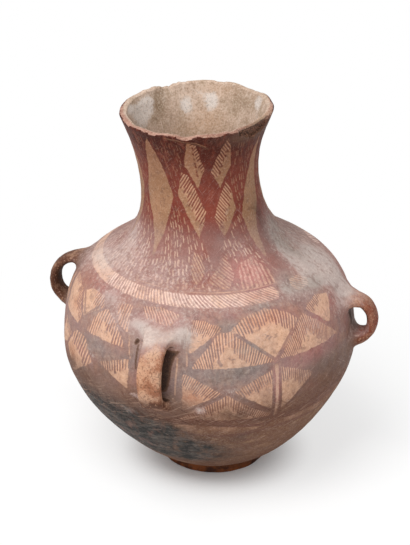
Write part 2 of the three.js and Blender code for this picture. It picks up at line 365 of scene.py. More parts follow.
def hatched_group(c):
    """Two tiers of hatched lozenges with a red one between them, about the turn c."""
    return [
        shape([(c - 7, 295), (c, 315), (c - 7, 340), (c - 13, 344), (c - 17, 318)], (1,), 3.5, pitch=2.6,
              slant=-40),
        shape([(c + 14, 294), (c + 25, 315), (c + 22, 336), (c + 18, 345), (c + 6, 311)], (3,), 8.0,
              pitch=2.4, slant=32),
        shape([(c - 11, 249), (c - 2, 271), (c - 15, 308), (c - 21, 311), (c - 27, 287)], (1,), 10.5,
              pitch=2.3, slant=-33),
        shape([(c + 11, 250), (c + 28.5, 272), (c + 24, 294), (c + 20, 300), (c + 4.5, 267)], (3,), 10.0,
              pitch=2.3, slant=33),
        shape([(c - 14, 216), (c - 8, 225), (c - 9.5, 236), (c - 16, 238), (c - 18, 226)], (0, 1, 2, 3, 4),
              20.0, pitch=2.4, slant=24),
        shape([(c + 4, 214), (c + 10, 222), (c + 9, 237), (c + 4, 233), (c - 0.5, 227), (c - 7, 219)],
              (0, 1, 2, 3, 4, 5), 20.0, pitch=2.8, slant=40),
        shape([(c + 12, 213.5), (c + 33, 213.5), (c + 34, 222), (c + 27, 231), (c + 17, 229),
               (c + 12, 221)], (0, 1, 2, 3, 4, 5), 20.0, pitch=3.9, slant=-10),
    ]


RIGHT_LOZENGE = shape([
    (66, 226), (73, 250), (86, 272), (88, 285), (85, 325), (82, 338), (75, 305), (70, 290), (60.5, 265),
    (62, 250),
])
NECK_FIELDS = [lozenge(turn) for turn in LOZENGE_TURNS] + [RIGHT_LOZENGE]
NECK_FIELDS += [field for c in NECK_GROUPS for field in hatched_group(c)]

# Brush lines and small marks: (half width in mm, points), painted over the fields
LINES = [
    (1.5, [(31, 185.5), (38, 175), (45.5, 161)]), (1.3, [(55.5, 182), (50, 171), (46, 161)]),
    (1.3, [(44.6, 156), (44.6, 104)]), (1.2, [(47.5, 156), (47.6, 104)]),
    (1.2, [(-49, 194), (-44, 186), (-40, 175)]), (1.2, [(-33, 189), (-37, 182), (-40, 175)]),
    (1.4, [(50.5, 112), (56, 124), (62.5, 134)]), (1.2, [(24.6, 132.5), (15, 122), (10, 117)]),
    (1.2, [(28.5, 132.5), (37, 122), (44, 111)]), (1.0, [(-26, 142), (-19, 134), (-12.5, 127)]),
    (0.7, [(42.8, 182.5), (46.5, 179)]), (0.6, [(43, 180), (44.2, 178.6)]),
    (0.6, [(27.3, 167.6), (28.2, 165.6)]), (0.5, [(28.5, 166.4), (29.6, 166.2)]),
    (0.5, [(15.5, 181.5), (17, 180.6)]), (1.7, [(23.4, 165), (24.2, 161.5)]),
    (0.6, [(-41, 189), (-40, 188)]), (0.6, [(-39, 187.4), (-38.7, 187.2)]),
    (0.6, [(-40.6, 184.8), (-40.4, 184.5)]), (0.6, [(-27.8, 172.5), (-26.8, 170.5)]),
    (0.6, [(61.5, 168.5), (62, 167)]), (0.6, [(63.3, 169), (63.5, 167.5)]),
    (2.2, [(4, 103), (14, 105), (26, 104), (38, 103), (47, 102), (56, 104), (68, 107), (84, 112)]),
    (1.8, [(4, 99), (12, 102), (22, 100.5), (31, 97), (40, 94.5), (47, 99), (56, 101), (66, 106)]),
    (1.0, [(7, 91), (14, 86), (24, 84), (35, 86), (43, 92), (47, 100)]),
    (1.6, [(-52, 104), (-40, 103), (-26, 104), (-12, 102), (0, 101)]),
    (0.8, [(81.8, 184.9), (84.2, 166.9), (88, 150), (91.5, 137)]),
    (0.7, [(84.5, 183), (87, 166), (91, 150), (95.5, 136)]),
    (1.4, [(30, 82), (45.8, 87.4), (56, 88.5), (64, 88), (74, 88), (84, 91)]),
    (1.1, [(47, 98), (54, 96.9), (60, 98), (67, 99.8), (80, 104)]), (1.1, [(29, 86), (29.3, 82)]),
    (0.9, [(31.5, 81), (33.5, 79)]), (0.8, [(35, 77), (38, 72.5)]),
]
for c in NECK_GROUPS:
    LINES += [(0.75, [(c - a, z), (c - a + 0.5, z - 1.6)]) for a, z in
              ((9.6, 338), (9.2, 331.5), (8.6, 326), (8.2, 321.5), (7.7, 318), (7.2, 313), (6.6, 308.5))]
    LINES += [(0.8, [(c + a, z), (c + a + 0.6, z - 1.8)]) for a, z in
              ((19, 332), (18.5, 327), (16.6, 322.5), (15, 317), (13.6, 310))]
for at in BACK_UNITS:
    LINES += [(1.4, [(at + 3.5, 186), (at + 17, 161)]), (1.3, [(at + 26, 182), (at + 17.5, 161)]),
              (1.2, [(at + 15.7, 156), (at + 15.7, 104)]), (1.2, [(at + 18.2, 156), (at + 18.2, 104)])]
LINES.append((1.9, [(turn, 103 + 1.5 * math.sin(math.radians(turn * 7))) for turn in range(84, 312, 6)]))

# Pale scraped lines: (half width in mm, points)
PALE_LINES = [
    (0.7, [(11, 191), (11.4, 160)]), (0.7, [(-13.4, 178), (-12.2, 163), (-11.6, 158)]),
    (0.6, [(-13.6, 156), (-12.6, 140)]), (0.5, [(9.4, 150), (9.3, 124)]),
    (0.5, [(-15.5, 152), (-14.6, 141)]),
    (0.5, [(-60, 214), (-30, 214.5), (0, 213.6), (30, 213.2), (60, 213)]),
    (0.8, [(7.9, 166), (7.4, 150), (7.2, 132)]), (0.9, [(6.3, 128), (9, 122), (12, 124)]),
    (0.5, [(106, 244), (100, 230), (93, 215)]), (0.4, [(103, 247), (97, 232), (88, 217)]),
    (0.45, [(99, 240), (95, 228), (90, 219)]), (0.35, [(96, 236), (92, 226), (85, 216)]),
    (0.45, [(6, 216.5), (16, 215.4), (27, 214.6)]), (0.5, [(-6.8, 179), (-3, 177), (1, 179)]),
    (0.5, [(-8, 176), (-5, 171), (-6, 166)]), (0.4, [(-3, 176), (-1, 170)]),
    (0.55, [(-4, 347.5), (4, 346.5), (10, 345.5), (20, 343), (28, 338.4)]),
]

# Dirt in cracks and dark lines beside the straps, which under the right strap's upper root are painted
# shade:
# (half width in mm, points), and the patch behind the front strap, which is painted shadow of the strap and
# dirt
GRIME_AND_SHADE_LINES = [
    (0.5, [(-1, 346.4), (4, 345.4), (10, 344.3), (20, 341.6), (30, 336)]),
    (0.7, [(50, 342), (58, 340.5), (66, 342), (74, 340.5), (86, 343)]),
    (0.8, [(-8.6, 172), (-9.0, 160), (-8.8, 150)]), (1.9, [(90, 180), (92.5, 177)]),
    (3.0, [(92.5, 177), (96.5, 171)]), (2.2, [(93.5, 176), (94.5, 168), (96, 158)]),
    (3.0, [(95, 174), (97, 163), (96.5, 153)]), (1.8, [(-9.2, 175.5), (-9.8, 173)]),
    (1.0, [(-6, 118), (-2, 114.5), (3, 115)]), (0.5, [(45, 102), (30, 99), (12, 101)]),
]
# Painted shadow cast by the front strap on the wall behind it, with dirt in its hollow
SLOT_SHADOW_AND_GRIME = shape([
    (8.8, 172.5), (6.6, 166.5), (5.6, 158), (5.2, 148), (4.7, 140), (3.8, 134), (-2, 132), (-6, 136),
    (-6.5, 158), (-3, 169), (3, 172.5),
])

# Soft patches of tone for each painted value: (turn, height, half width in degrees, half height, strength)
PATCHES = {
    "grey": [
        (102, 240, 16, 16, 1.0), (27, 150, 20, 13, 1.0), (36, 156, 9, 5, 0.5), (-28, 155, 16, 10, 0.8),
        (38, 174, 8, 9, 1.0), (-38, 184, 10, 12, 0.4), (16, 180, 5, 12, 0.5), (28, 192, 7, 6, 0.8),
        (45, 202, 8, 4, 0.8), (10, 165, 4, 25, 0.4), (-11, 160, 4, 20, 0.5), (92, 231, 8, 14, 1.0),
        (66, 210, 8, 8, 0.8), (80, 203, 7, 5, 0.7), (-24, 108, 14, 12, 0.5), (30, 130, 14, 8, 0.5),
        (15, 200, 22, 4, 0.4), (150, 150, 22, 14, 0.8), (215, 150, 25, 12, 0.6), (240, 230, 30, 14, 0.5),
        (130, 225, 22, 12, 0.6), (185, 190, 20, 10, 0.5), (96, 250, 10, 18, 0.5),
    ],
    "rose": [
        (101, 155, 9, 22, 1.3), (70, 180, 9, 8, 0.7), (46, 130, 1.5, 26, 1.2), (2, 197, 8, 4, 0.6),
        (64, 152, 15, 11, 1.0), (47, 222, 14, 11, 1.3), (25, 200, 20, 4, 0.4), (52, 193, 8, 5, 0.5),
        (-38, 201, 12, 5, 0.5), (0, 195, 10, 6, 0.5), (-39, 142, 5, 6, 0.5), (84, 186, 6, 8, 0.5),
        (170, 160, 20, 14, 0.7), (235, 195, 18, 10, 0.6), (280, 215, 20, 10, 0.3), (120, 190, 14, 9, 0.5),
    ],
    "haze": [
        (-54, 210, 13, 6, 0.45), (86, 214, 9, 12, 0.8), (98, 238, 16, 16, 0.6), (110, 214, 14, 24, 0.6),
        (92, 204, 8, 9, 0.5), (84, 238, 7, 10, 0.4), (61, 209, 4, 6, 0.7), (88, 209, 8, 7, 0.8),
        (-48, 224, 24, 17, 0.9), (-12, 219, 24, 12, 0.55), (22, 224, 26, 14, 0.3), (-30, 198, 10, 6, 0.7),
        (0, 186, 12, 7, 0.85), (-10, 189, 8, 7, 0.6), (10, 188, 6, 9, 0.6), (-4, 178, 6, 7, 0.55),
        (-6, 168, 3, 4, 0.4), (3, 197, 12, 5, 0.2), (98, 196, 13, 16, 1.0), (88, 178, 7, 12, 0.7),
        (74, 205, 14, 8, 0.9), (84, 224, 9, 12, 0.8), (-72, 205, 14, 15, 0.8), (-90, 200, 8, 6, 0.6),
        (-22, 186, 8, 8, 0.5), (10, 180, 4, 10, 0.6), (28, 137, 3, 3, 0.9), (0, 206, 50, 7, 0.25),
        (16.3, 118, 2.4, 4, 1.2), (-31, 146, 2, 2, 1.0), (34, 204, 28, 5, 0.4), (50, 240, 16, 9, 0.4),
        (64, 176, 16, 12, 0.45), (130, 205, 22, 16, 0.6), (180, 222, 30, 12, 0.6), (232, 190, 22, 12, 0.5),
        (-38, 180, 28, 22, 0.3), (205, 150, 16, 12, 0.3), (-60, 240, 16, 10, 0.6), (83, 355, 15, 2.6, 1.1),
        (101, 212, 8, 12, 0.4), (99, 186, 7, 9, 0.8), (-13, 105, 4, 3, 0.9), (-20, 98, 3, 2, 0.7),
        (-9, 124, 3, 2, 0.9), (-6.6, 131.6, 1.6, 2, 1.3), (-13.3, 101.5, 1.6, 2, 1.2),
        (-33, 150, 1.2, 1.6, 1.2),
    ],
    "soot": [
        (-46, 66, 24, 14, 1.0), (-30, 52, 24, 12, 1.1), (-62, 80, 16, 16, 0.7), (-6, 48, 20, 10, 0.8),
        (12, 44, 18, 10, 0.5), (-14, 82, 22, 15, 1.3), (-34, 78, 22, 20, 1.3), (6, 68, 16, 12, 1.1),
        (-2, 92, 12, 8, 0.8), (-24, 100, 20, 12, 0.7), (20, 62, 14, 9, 0.6), (-12, 108, 9, 7, 0.35),
        (-45, 60, 20, 14, 0.4), (0, 45, 40, 16, 0.5), (82, 262, 6, 14, 0.5), (78, 238, 9, 14, 0.35),
        (34, 80, 6, 6, 0.35), (31, 112, 7, 6, 0.2), (165, 80, 24, 16, 0.6), (230, 70, 18, 16, 0.5),
        (104, 150, 6, 20, 0.15),
    ],
    # The umber patch at turn -86 darkens the left strap and the wall round it, partly as painted shade on
    # the far side
    "umber": [
        (72, 344, 20, 5, 1.0), (34, 114, 26, 10, 0.8), (-22, 138, 8, 12, 0.7), (4, 112, 10, 8, 1.2),
        (-40, 122, 12, 12, 0.9), (0, 123, 9, 9, 1.3), (70, 345, 22, 8, 1.3), (-86, 166, 16, 38, 1.6),
        (101, 150, 8, 24, 0.9), (-40, 96, 30, 14, 0.7), (30, 104, 30, 7, 0.4), (-3, 114, 12, 11, 1.2),
        (-30, 112, 24, 14, 0.8), (5, 108, 14, 13, 0.9), (74, 122, 18, 24, 0.85), (68, 140, 12, 10, 0.5),
        (95, 130, 12, 24, 0.6), (2, 118, 9, 9, 0.7), (-55, 105, 18, 14, 0.7), (48, 102, 12, 7, 0.8),
        (140, 112, 30, 14, 0.8), (190, 108, 30, 14, 0.8), (250, 112, 30, 14, 0.8), (10, 135, 7, 6, 0.3),
    ],
    "orange": [
        (13, 131, 5, 6, 1.0), (6, 120, 7, 5, 0.6), (-47, 132, 5, 9, 0.6), (38, 192, 7, 5, 0.5),
        (50, 195, 8, 4, 0.5), (15, 148, 4, 5, 0.6), (39, 138, 6, 7, 0.5), (-49, 176, 6, 5, 0.5),
        (20, 193, 5, 4, 0.4), (52, 208, 8, 4, 0.6), (41, 208, 6, 4, 0.5), (-17, 208, 8, 4, 0.4),
        (35, 68, 12, 10, 0.4), (60, 70, 16, 16, 0.3), (150, 176, 10, 8, 0.5), (200, 130, 12, 9, 0.6),
        (245, 170, 10, 8, 0.5), (-4, 152, 4, 16, 0.6), (-86, 176, 5, 8, 0.5),
    ],
}
INSIDE_PATCHES = {
    "haze": [
        (-110, 338, 10, 10, 1.1), (-92, 333, 16, 13, 1.15), (-150, 331, 7, 8, 1.2), (-174, 335, 9, 9, 1.1),
        (-160, 344, 7, 4, 0.4), (133, 345, 8, 7, 1.0), (-78, 346, 14, 5, 0.7), (122, 336, 8, 10, 0.5),
        (60, 330, 20, 10, 0.6), (0, 320, 30, 15, 0.5),
    ],
    "umber": [
        (-123, 335, 7, 9, 1.2), (-114, 324, 6, 4, 0.7), (155, 341, 14, 8, 0.7), (-124, 346, 7, 5, 0.7),
        (30, 340, 20, 8, 0.5),
    ],
    "orange": [
        (-172, 317, 22, 14, 0.8), (180, 346, 20, 6, 0.5), (-150, 305, 30, 10, 0.4),
    ],
}


def flat_place(turn, z, centre, scale):
    """Millimetres across and along the wall from the turn centre. scale is the radius that turns are
    laid out at."""
    return np.radians(turn_gap(turn, centre)) * scale, arc_at(z)


def flat_point(place, centre, scale):
    x, y = flat_place(np.array(float(place[0])), np.array(float(place[1])), centre, scale)
    return float(x), float(y)


def segment_distance(x, y, a, b):
    """Distance from points to a segment."""
    ax, ay = a
    dx, dy = b[0] - ax, b[1] - ay
    along = np.clip(((x - ax) * dx + (y - ay) * dy) / (dx * dx + dy * dy), 0, 1)
    return np.hypot(x - ax - along * dx, y - ay - along * dy)


def patch_values(patches, turn, z):
    """The sum of soft round patches."""
    total = np.zeros(turn.shape)
    for at, height, half, half_height, strength in patches:
        away = (turn_gap(turn, at) / half) ** 2 + ((z - height) / half_height) ** 2
        total = total + strength * np.exp(-away)
    return np.minimum(total, 1.3)


def field_values(field, turn, z):
    """How deep a point lies in one field, how far strokes reach past it, and which stroke it is on."""
    corners = field["corners"]
    centre = corners[:, 0].mean()
    scale = radius_at(corners[:, 1].mean())
    x, y = flat_place(turn, z, centre, scale)
    px, py = flat_place(corners[:, 0], corners[:, 1], centre, scale)
    count = len(corners)
    nearest = np.full(x.shape, 1e9)
    edge_depth = np.full(x.shape, 1e9)
    inside = np.zeros(x.shape, bool)
    for i in range(count):
        a, b = (px[i], py[i]), (px[(i + 1) % count], py[(i + 1) % count])
        distance = segment_distance(x, y, a, b)
        nearest = np.minimum(nearest, distance)
        if i in field["fringed"]:
            edge_depth = np.minimum(edge_depth, distance)
        crosses = (a[1] > y) != (b[1] > y)
        at = a[0] + (y - a[1]) / (b[1] - a[1] + 1e-12) * (b[0] - a[0])
        inside ^= crosses & (x < at)
    depth = np.where(inside, nearest, -nearest)
    fringe = field["depth"] - edge_depth if field["fringed"] else np.full(x.shape, FAR)
    if field["focus"]:
        fx, fy = flat_point(field["focus"], centre, scale)
        reach = math.hypot(px.mean() - fx, py.mean() - fy) + 8
        stroke = np.arctan2(x - fx, y - fy) * reach / field["pitch"]
    else:
        slant = math.radians(field["slant"])
        stroke = (x * math.cos(slant) + y * math.sin(slant)) / field["pitch"]
    return depth, np.clip(fringe, FAR, -FAR), stroke


def line_field(lines, turn, z):
    """How far inside the nearest brush line a point lies, in mm."""
    best = np.full(turn.shape, FAR_LINE)
    for half, points in lines:
        for a, b in zip(points, points[1:]):
            centre, scale = a[0], radius_at(a[1])
            x, y = flat_place(turn, z, centre, scale)
            distance = segment_distance(x, y, flat_point(a, centre, scale), flat_point(b, centre, scale))
            best = np.maximum(best, half - distance)
    return best


# How far from a field its values are worked out, and how much the body's fields grow, in mm
FIELD_REACH, FIELD_GROWTH = 16.0, 1.0


def design_values(turn, z):
    """Depth in the nearest field, how far its strokes reach past a point, and the stroke's number."""
    field = np.full(turn.shape, FAR)
    fringe = np.full(turn.shape, FAR)
    stroke = np.zeros(turn.shape)
    for one in FIELDS + NECK_FIELDS:
        turns, heights = one["corners"].T
        half = np.ptp(turns) / 2 + np.degrees(FIELD_REACH / WAIST)
        near = np.abs(turn_gap(turn, turns.mean())) < half
        near &= (z > heights.min() - FIELD_REACH) & (z < heights.max() + FIELD_REACH)
        if not near.any():
            continue
        depth, edge, phase = field_values(one, turn[near], z[near])
        depth = depth + FIELD_GROWTH * (heights.max() < BAND_LOW)
        better = depth > field[near]
        for kept, new in ((field, depth), (fringe, edge), (stroke, phase)):
            kept[near] = np.where(better, new, kept[near])
    return field, fringe, stroke


def paint_fields(turn, z):
    """Everything the clay's material reads, for points of the outside at a turn and height."""
    field, fringe, stroke = design_values(turn, z)
    around = turn_gap(turn, 0)
    arc = arc_at(z)

    # The hatched band between the body and the neck, which is painted over in two places
    hidden = np.maximum(span(around, 55, 58, 65, 68), span(around, 76, 80, 120, 124))
    band = np.minimum(arc - arc_at(BAND_LOW), arc_at(BAND_HIGH) - arc) - 8 * hidden
    lean = 0.05 + 0.25 * smooth(around, -35, 45)
    hatch = around * 0.55 - 0.085 * np.maximum(around - 10, 0) + (arc - arc_at(BAND_LOW)) * lean
    plain = span(around, -100, -90, -41, -37)
    better = band > field
    field = np.where(better, band, field)
    fringe = np.where(better, 15.0 - 35.0 * plain, fringe)
    stroke = np.where(better, hatch, stroke)

    # The unpainted bottom, which starts lower where it is sooted
    sooted = span(around, -130, -105, -12, 6)
    bottom = arc_at(98.0 - 45.0 * sooted) - arc + 1.5 * np.sin(np.radians(turn * 9))
    better = bottom > field
    values = {"field": np.where(better, bottom, field)}
    values["fringe"] = np.where(better, FAR, fringe)
    values["stroke"] = stroke
    values["line"] = line_field(LINES, turn, z)
    values["pale_line"] = line_field(PALE_LINES, turn, z)
    # Painted shade and dirt: the dark lines, and the painted shadow behind the front strap
    patch = field_values(SLOT_SHADOW_AND_GRIME, turn, z)[0]
    values["grime_and_shade"] = np.maximum(line_field(GRIME_AND_SHADE_LINES, turn, z), patch.clip(FAR_LINE, -FAR_LINE))

    # Tones that change with the height, and the solid red between the neck's lozenges
    wedge = np.clip(2 + (z - 227) * 0.28, 2, 10)
    away = np.minimum(np.abs(turn_gap(turn, 28)), np.abs(turn_gap(turn, 210)))
    solid = (1 - smooth(away, wedge, wedge + 3)) * smooth(z, 222, 228)
    smoky = span(around, 60, 68, 104, 112) * (1 - smooth(z, 262, 280))
    dashed = span(z, 213, 216, 335, 348) * (1 - 0.3 * smooth(z, 262, 285))
    values["dashed"] = dashed * (1 - solid) * (1 - smoky)
    values["solid"] = solid * (1 - smooth(z, 255, 270))
    values["neck_red"] = smooth(z, 213, 222)
    values["neck_top"] = smooth(z, 285, 345)
    values["base"] = 1 - smooth(z, 84, 104)
    # low: how near the base; the clay is darkened there, partly as painted shade under the belly
    values["low"] = 1 - smooth(z, 98, 148)
    values["film"] = span(z, 98, 148, 235, 265)
    values["mauve"] = span(z, 211, 215, 228, 272)
    dim = np.maximum(plain, span(around, 60, 68, 80, 84))
    values["band"] = smooth(band, -0.8, 0.4) * (1 - 0.75 * dim)
    values["tier"] = span(z, 213, 216, 236, 244) * span(around, 6, 12, 58, 64)
    for name, patches in PATCHES.items():
        values[name] = patch_values(patches, turn, z)
    edge = smooth(z, LIP_Z - 1.4, LIP_Z - 0.3)
    values["bare"] = np.maximum(smooth(lip_flake(turn, z), 0.15, 0.6), 0.4 * edge)
    for name in ("inside", "strap", "foot"):
        values[name] = np.zeros(turn.shape)
    return values


def grid_normals(grid):
    """Unit normals of a grid of points whose columns close and whose rows run up the outside."""
    across = np.roll(grid, -1, axis=1) - np.roll(grid, 1, axis=1)
    along = np.gradient(grid, axis=0)
    normals = np.cross(across, along)
    return normals / np.maximum(np.linalg.norm(normals, axis=-1, keepdims=True), 1e-9)


TURNS = np.arange(COLUMNS) * 360.0 / COLUMNS


class Strip:
    """Rows of points round the jar. Its first and last rows only give the normals at its two edges."""

    def __init__(self, point, heights, values):
        turn, z = np.meshgrid(TURNS, heights)
        grid = point(turn, z)
        self.points = grid[1:-1]
        self.normals = grid_normals(grid)[1:-1]
        self.values = {name: array[1:-1] for name, array in values(turn, z).items()}
        self.turn, self.z = turn[1:-1], z[1:-1]


def even_heights(low, high, step):
    """Heights evenly spaced along the wall, with one more beyond each end."""
    a, b = arc_at(low), arc_at(high)
    count = max(2, int(round(abs(b - a) / step)))
    arcs = a + (b - a) * np.arange(-1, count + 2) / count
    return height_at(np.clip(arcs, SEAM_GAP, ARC[-1] - SEAM_GAP))


# The painted values that are 0 on the inside
OUTSIDE_VALUES = [
    "stroke", "dashed", "neck_red", "neck_top", "base", "low", "film", "solid", "mauve", "band", "tier",
    "bare", "strap", "foot", *PATCHES,
]


def inside_values(turn, z):
    """The same values for points of the inside."""
    values = {name: np.zeros(turn.shape) for name in OUTSIDE_VALUES}
    values["inside"] = np.ones(turn.shape)
    values["field"] = np.full(turn.shape, -FAR)
    for name in ("fringe", "line", "pale_line", "grime_and_shade"):
        values[name] = np.full(turn.shape, FAR_LINE)
    for name, patches in INSIDE_PATCHES.items():
        values[name] = patch_values(patches, turn, z)
    return values


def make_mesh(name, points, faces, normals, values, turn, z):
    """A closed mesh object with its normals and painted values, from arrays in mm."""
    mesh = bpy.data.meshes.new(name)
    mesh.vertices.add(len(points))
    mesh.vertices.foreach_set("co", (points * MM).astype(np.float32).ravel())
    flat = np.concatenate([np.asarray(f).ravel() for f in faces])
    sizes = np.concatenate([np.full(len(f), f.shape[1]) for f in faces])
    mesh.loops.add(len(flat))
    mesh.loops.foreach_set("vertex_index", flat.astype(np.int32))
    mesh.polygons.add(len(sizes))
    mesh.polygons.foreach_set("loop_start", np.concatenate([[0], np.cumsum(sizes)[:-1]]).astype(np.int32))
    mesh.update(calc_edges=True)
    mesh.validate()
    mesh.shade_smooth()
    for key, array in values.items():
        painted = mesh.attributes.new(key, "FLOAT", "POINT")
        painted.data.foreach_set("value", array.astype(np.float32).ravel())
    x, y = direction(turn)
    place = np.stack([x, y, arc_at(z) * MM], -1).astype(np.float32)
    mesh.attributes.new("place", "FLOAT_VECTOR", "POINT").data.foreach_set("vector", place.ravel())
    own = np.zeros(len(points) * 3, np.float32)
    mesh.vertex_normals.foreach_get("vector", own)
    own = own.reshape(-1, 3)
    known = np.linalg.norm(normals, axis=1) > 0.5
    own[known] = normals[known]
    mesh.normals_split_custom_set_from_vertices(own.tolist())
    piece = bpy.data.objects.new(name, mesh)
    bpy.context.scene.collection.objects.link(piece)
    return piece


def ring_faces(rows, columns, closed):
    """Quads between rows of a grid whose columns close. closed joins the last row to the first."""
    last = rows if closed else rows - 1
    i, j = np.meshgrid(np.arange(last), np.arange(columns), indexing="ij")
    below, above = i * columns, (i + 1) % rows * columns
    right = (j + 1) % columns
    return np.stack([below + j, below + right, above + right, above + j], -1).reshape(-1, 4)


def capped(grid):
    """The points and faces of a tube whose two ends are closed by fans about their middles."""
    rows, columns = grid.shape[:2]
    points = np.vstack([grid.reshape(-1, 3), grid[0].mean(axis=0), grid[-1].mean(axis=0)])
    j = np.arange(columns)
    right = (j + 1) % columns
    last = (rows - 1) * columns
    start = np.stack([np.full(columns, rows * columns), right, j], -1)
    end = np.stack([np.full(columns, rows * columns + 1), last + j, last + right], -1)
    return points, [ring_faces(rows, columns, False), start, end]


def wall_piece(name, strips):
    """A ring of wall from its strips, joined one after another and back to the first."""
    points = np.concatenate([s.points for s in strips])
    normals = np.concatenate([s.normals for s in strips]).reshape(-1, 3)
    values = {key: np.concatenate([s.values[key] for s in strips]).ravel() for key in strips[0].values}
    turn = np.concatenate([s.turn for s in strips]).ravel()
    z = np.concatenate([s.z for s in strips]).ravel()
    faces = [ring_faces(len(points), COLUMNS, True)]
    return make_mesh(name, points.reshape(-1, 3), faces, normals, values, turn, z)


def wall_ring(name, low, high):
    """The wall between two laps. low and high are the heights of each lap's outer and inner edges."""
    outside = Strip(outer_point, even_heights(low[0], high[0], ROW_STEP), paint_fields)
    inside = Strip(inner_point, even_heights(high[1], low[1], INSIDE_STEP), inside_values)
    return wall_piece(name, [outside, inside])


def lap(z):
    """The outer and inner edge of a slanted lap, for the piece below and the piece above."""
    below = (z - LAP / 2, z + LAP / 2)
    return below, (below[0] + SEAM_GAP, below[1] + SEAM_GAP)


def crown_rows(a, b):
    """Rows over the rounded, worn lip, from a row on its outside to one on its inside."""
    rows = []
    for angle in np.radians(np.linspace(0, 180, CROWN_ROWS + 2)[1:-1]):
        row = a + (b - a) * (1 - math.cos(angle)) / 2
        jitter = 0.3 * lattice_noise(row, 4.0, 31) + 0.15 * lattice_noise(row, 1.6, 32)
        worn = LIP_ROUNDING * math.sin(angle)
        row[:, 2] += worn * (0.82 + 0.18 * jitter) - 0.35 * math.sin(angle) * (1 + jitter)
        rows.append(row)
    return np.array(rows)


def rim_piece(name, low):
    """The last coil: up the outside, over the worn lip and down the inside."""
    top = LIP_Z - LIP_ROUNDING
    up = even_heights(low[0], top, RIM_STEP)[:-1]
    down = even_heights(top, low[1], RIM_INSIDE_STEP)[1:]
    outside = outer_point(*np.meshgrid(TURNS, up))
    inside = inner_point(*np.meshgrid(TURNS, down))
    crown = crown_rows(outside[-1], inside[0])
    grid = np.concatenate([outside, crown, inside])
    heights = np.concatenate([up, np.full(CROWN_ROWS, LIP_Z), down])
    turn, z = np.meshgrid(TURNS, heights)

    # The outside's tones give way to the inside's across the lip, sooner at the back
    far = smooth(np.abs(turn_gap(TURNS, SEEN_TURN)), 75, 125)[None]
    over = np.linspace(0, 1, CROWN_ROWS)[:, None]
    blend = smooth(over + 0.35 * far, 0.45, 0.75)
    share = np.concatenate([np.zeros(outside.shape[:2]), blend, np.ones(inside.shape[:2])])
    values, within = paint_fields(turn, z), inside_values(turn, z)
    for key in values:
        values[key] = values[key] * (1 - share) + within[key] * share
    bare = [np.zeros(len(up)), smooth(over[:, 0], 0.0, 0.35), 0.6 * smooth(down, top - 2.5, top)]
    values["bare"] = np.maximum(values["bare"], np.concatenate(bare)[:, None] * (1 - far))

    # The first and last rows only give the normals
    values = {key: array[1:-1].ravel() for key, array in values.items()}
    points, normals = grid[1:-1].reshape(-1, 3), grid_normals(grid)[1:-1].reshape(-1, 3)
    faces = [ring_faces(len(grid) - 2, COLUMNS, True)]
    return make_mesh(name, points, faces, normals, values, turn[1:-1].ravel(), z[1:-1].ravel())


def foot_outline():
    """The disc's section from the middle of its underside to that of its top, as radius and height."""
    edge, inner = 1.4, 2
    outline = [(r, 0.0) for r in np.linspace(inner, FOOT_RADIUS - edge, 12)]
    outline += [(FOOT_RADIUS - edge + edge * math.sin(a), edge - edge * math.cos(a))
                for a in np.linspace(0.3, 1.57, 5)]
    outline += [(FOOT_RADIUS, z) for z in np.linspace(2.4, FOOT_TOP - 0.6, 8)]
    outline += [(FOOT_RADIUS - 0.5, FOOT_TOP - 0.1)]
    outline += [(r, FOOT_TOP) for r in np.linspace(FOOT_RADIUS - 3, inner, 12)]
    return np.array(outline)


def foot_piece(name):
    """The flat disc under the bowl, with a worn edge."""
    radii, heights = foot_outline().T
    turn, radius = np.meshgrid(np.arange(FOOT_COLUMNS) * 360.0 / FOOT_COLUMNS, radii)
    z = np.repeat(heights[:, None], FOOT_COLUMNS, axis=1)
    true = level_points(turn, z, radius)
    worn = 0.7 + 0.45 * lattice_noise(true, 14.0, 41) + 0.3 * lattice_noise(true, 5.0, 42)
    radius = radius - np.maximum(worn, 0) * smooth(radius, FOOT_RADIUS - 4, FOOT_RADIUS - 0.4)
    points, faces = capped(leaned_points(turn, z, radius, z))
    turn = np.append(turn.ravel(), [0.0, 0.0])
    z = np.append(z.ravel(), [0.0, FOOT_TOP])
    values = inside_values(turn, turn)
    values["inside"] = (z >= FOOT_TOP).astype(float)
    values["foot"] = 1 - values["inside"]
    return make_mesh(name, points, faces, np.zeros(points.shape), values, turn, z)


def arch_points(place):
    """Middle line of a strap, as distance from the jar's middle and height, with its direction."""
    top = np.array([radius_at(place["top"]) - ROOT_BURY, place["top"]])
    bottom = np.array([radius_at(place["bottom"]) - ROOT_BURY, place["bottom"]])
    half_way = (place["top"] + place["bottom"]) / 2
    farthest = radius_at(half_way) + STRAP_REACH - STRAP_THICKNESS / 2
    pull = (farthest - (top[0] + bottom[0]) / 8) * 4 / 3
    first, second = np.array([pull, top[1] + STRAP_RISE]), np.array([pull, bottom[1] - STRAP_RISE])
    line = curve(top, first, second, bottom, ARCH_STEPS)
    length = np.concatenate([[0], np.cumsum(np.hypot(*np.diff(line, axis=0).T))])
    even = np.linspace(0, length[-1], STRAP_ROWS)
    centre = np.stack([np.interp(even, length, line[:, 0]), np.interp(even, length, line[:, 1])], -1)
    tangent = np.gradient(centre, axis=0)
    return centre, tangent / np.linalg.norm(tangent, axis=1, keepdims=True)


def wall_gap(points):
    """How far points lie outside the wall, measured level, with the turn and height of each."""
    z = points[..., 2]
    mx, my = middle_at(z)
    x, y = points[..., 0] - mx, points[..., 1] - my
    turn = np.degrees(np.arctan2(x, -y))
    surface = outer_point(turn, z)
    return np.hypot(x, y) - np.hypot(surface[..., 0] - mx, surface[..., 1] - my), turn, z


def on_wall(turn, arc, sunk):
    """Points on the wall at a length along it, sunk into it."""
    return outer_point(turn, height_at(arc), sunk)


def rounded(value, power):
    """A sine or cosine made squarer by a power below 1."""
    return np.sign(value) * np.abs(value) ** power


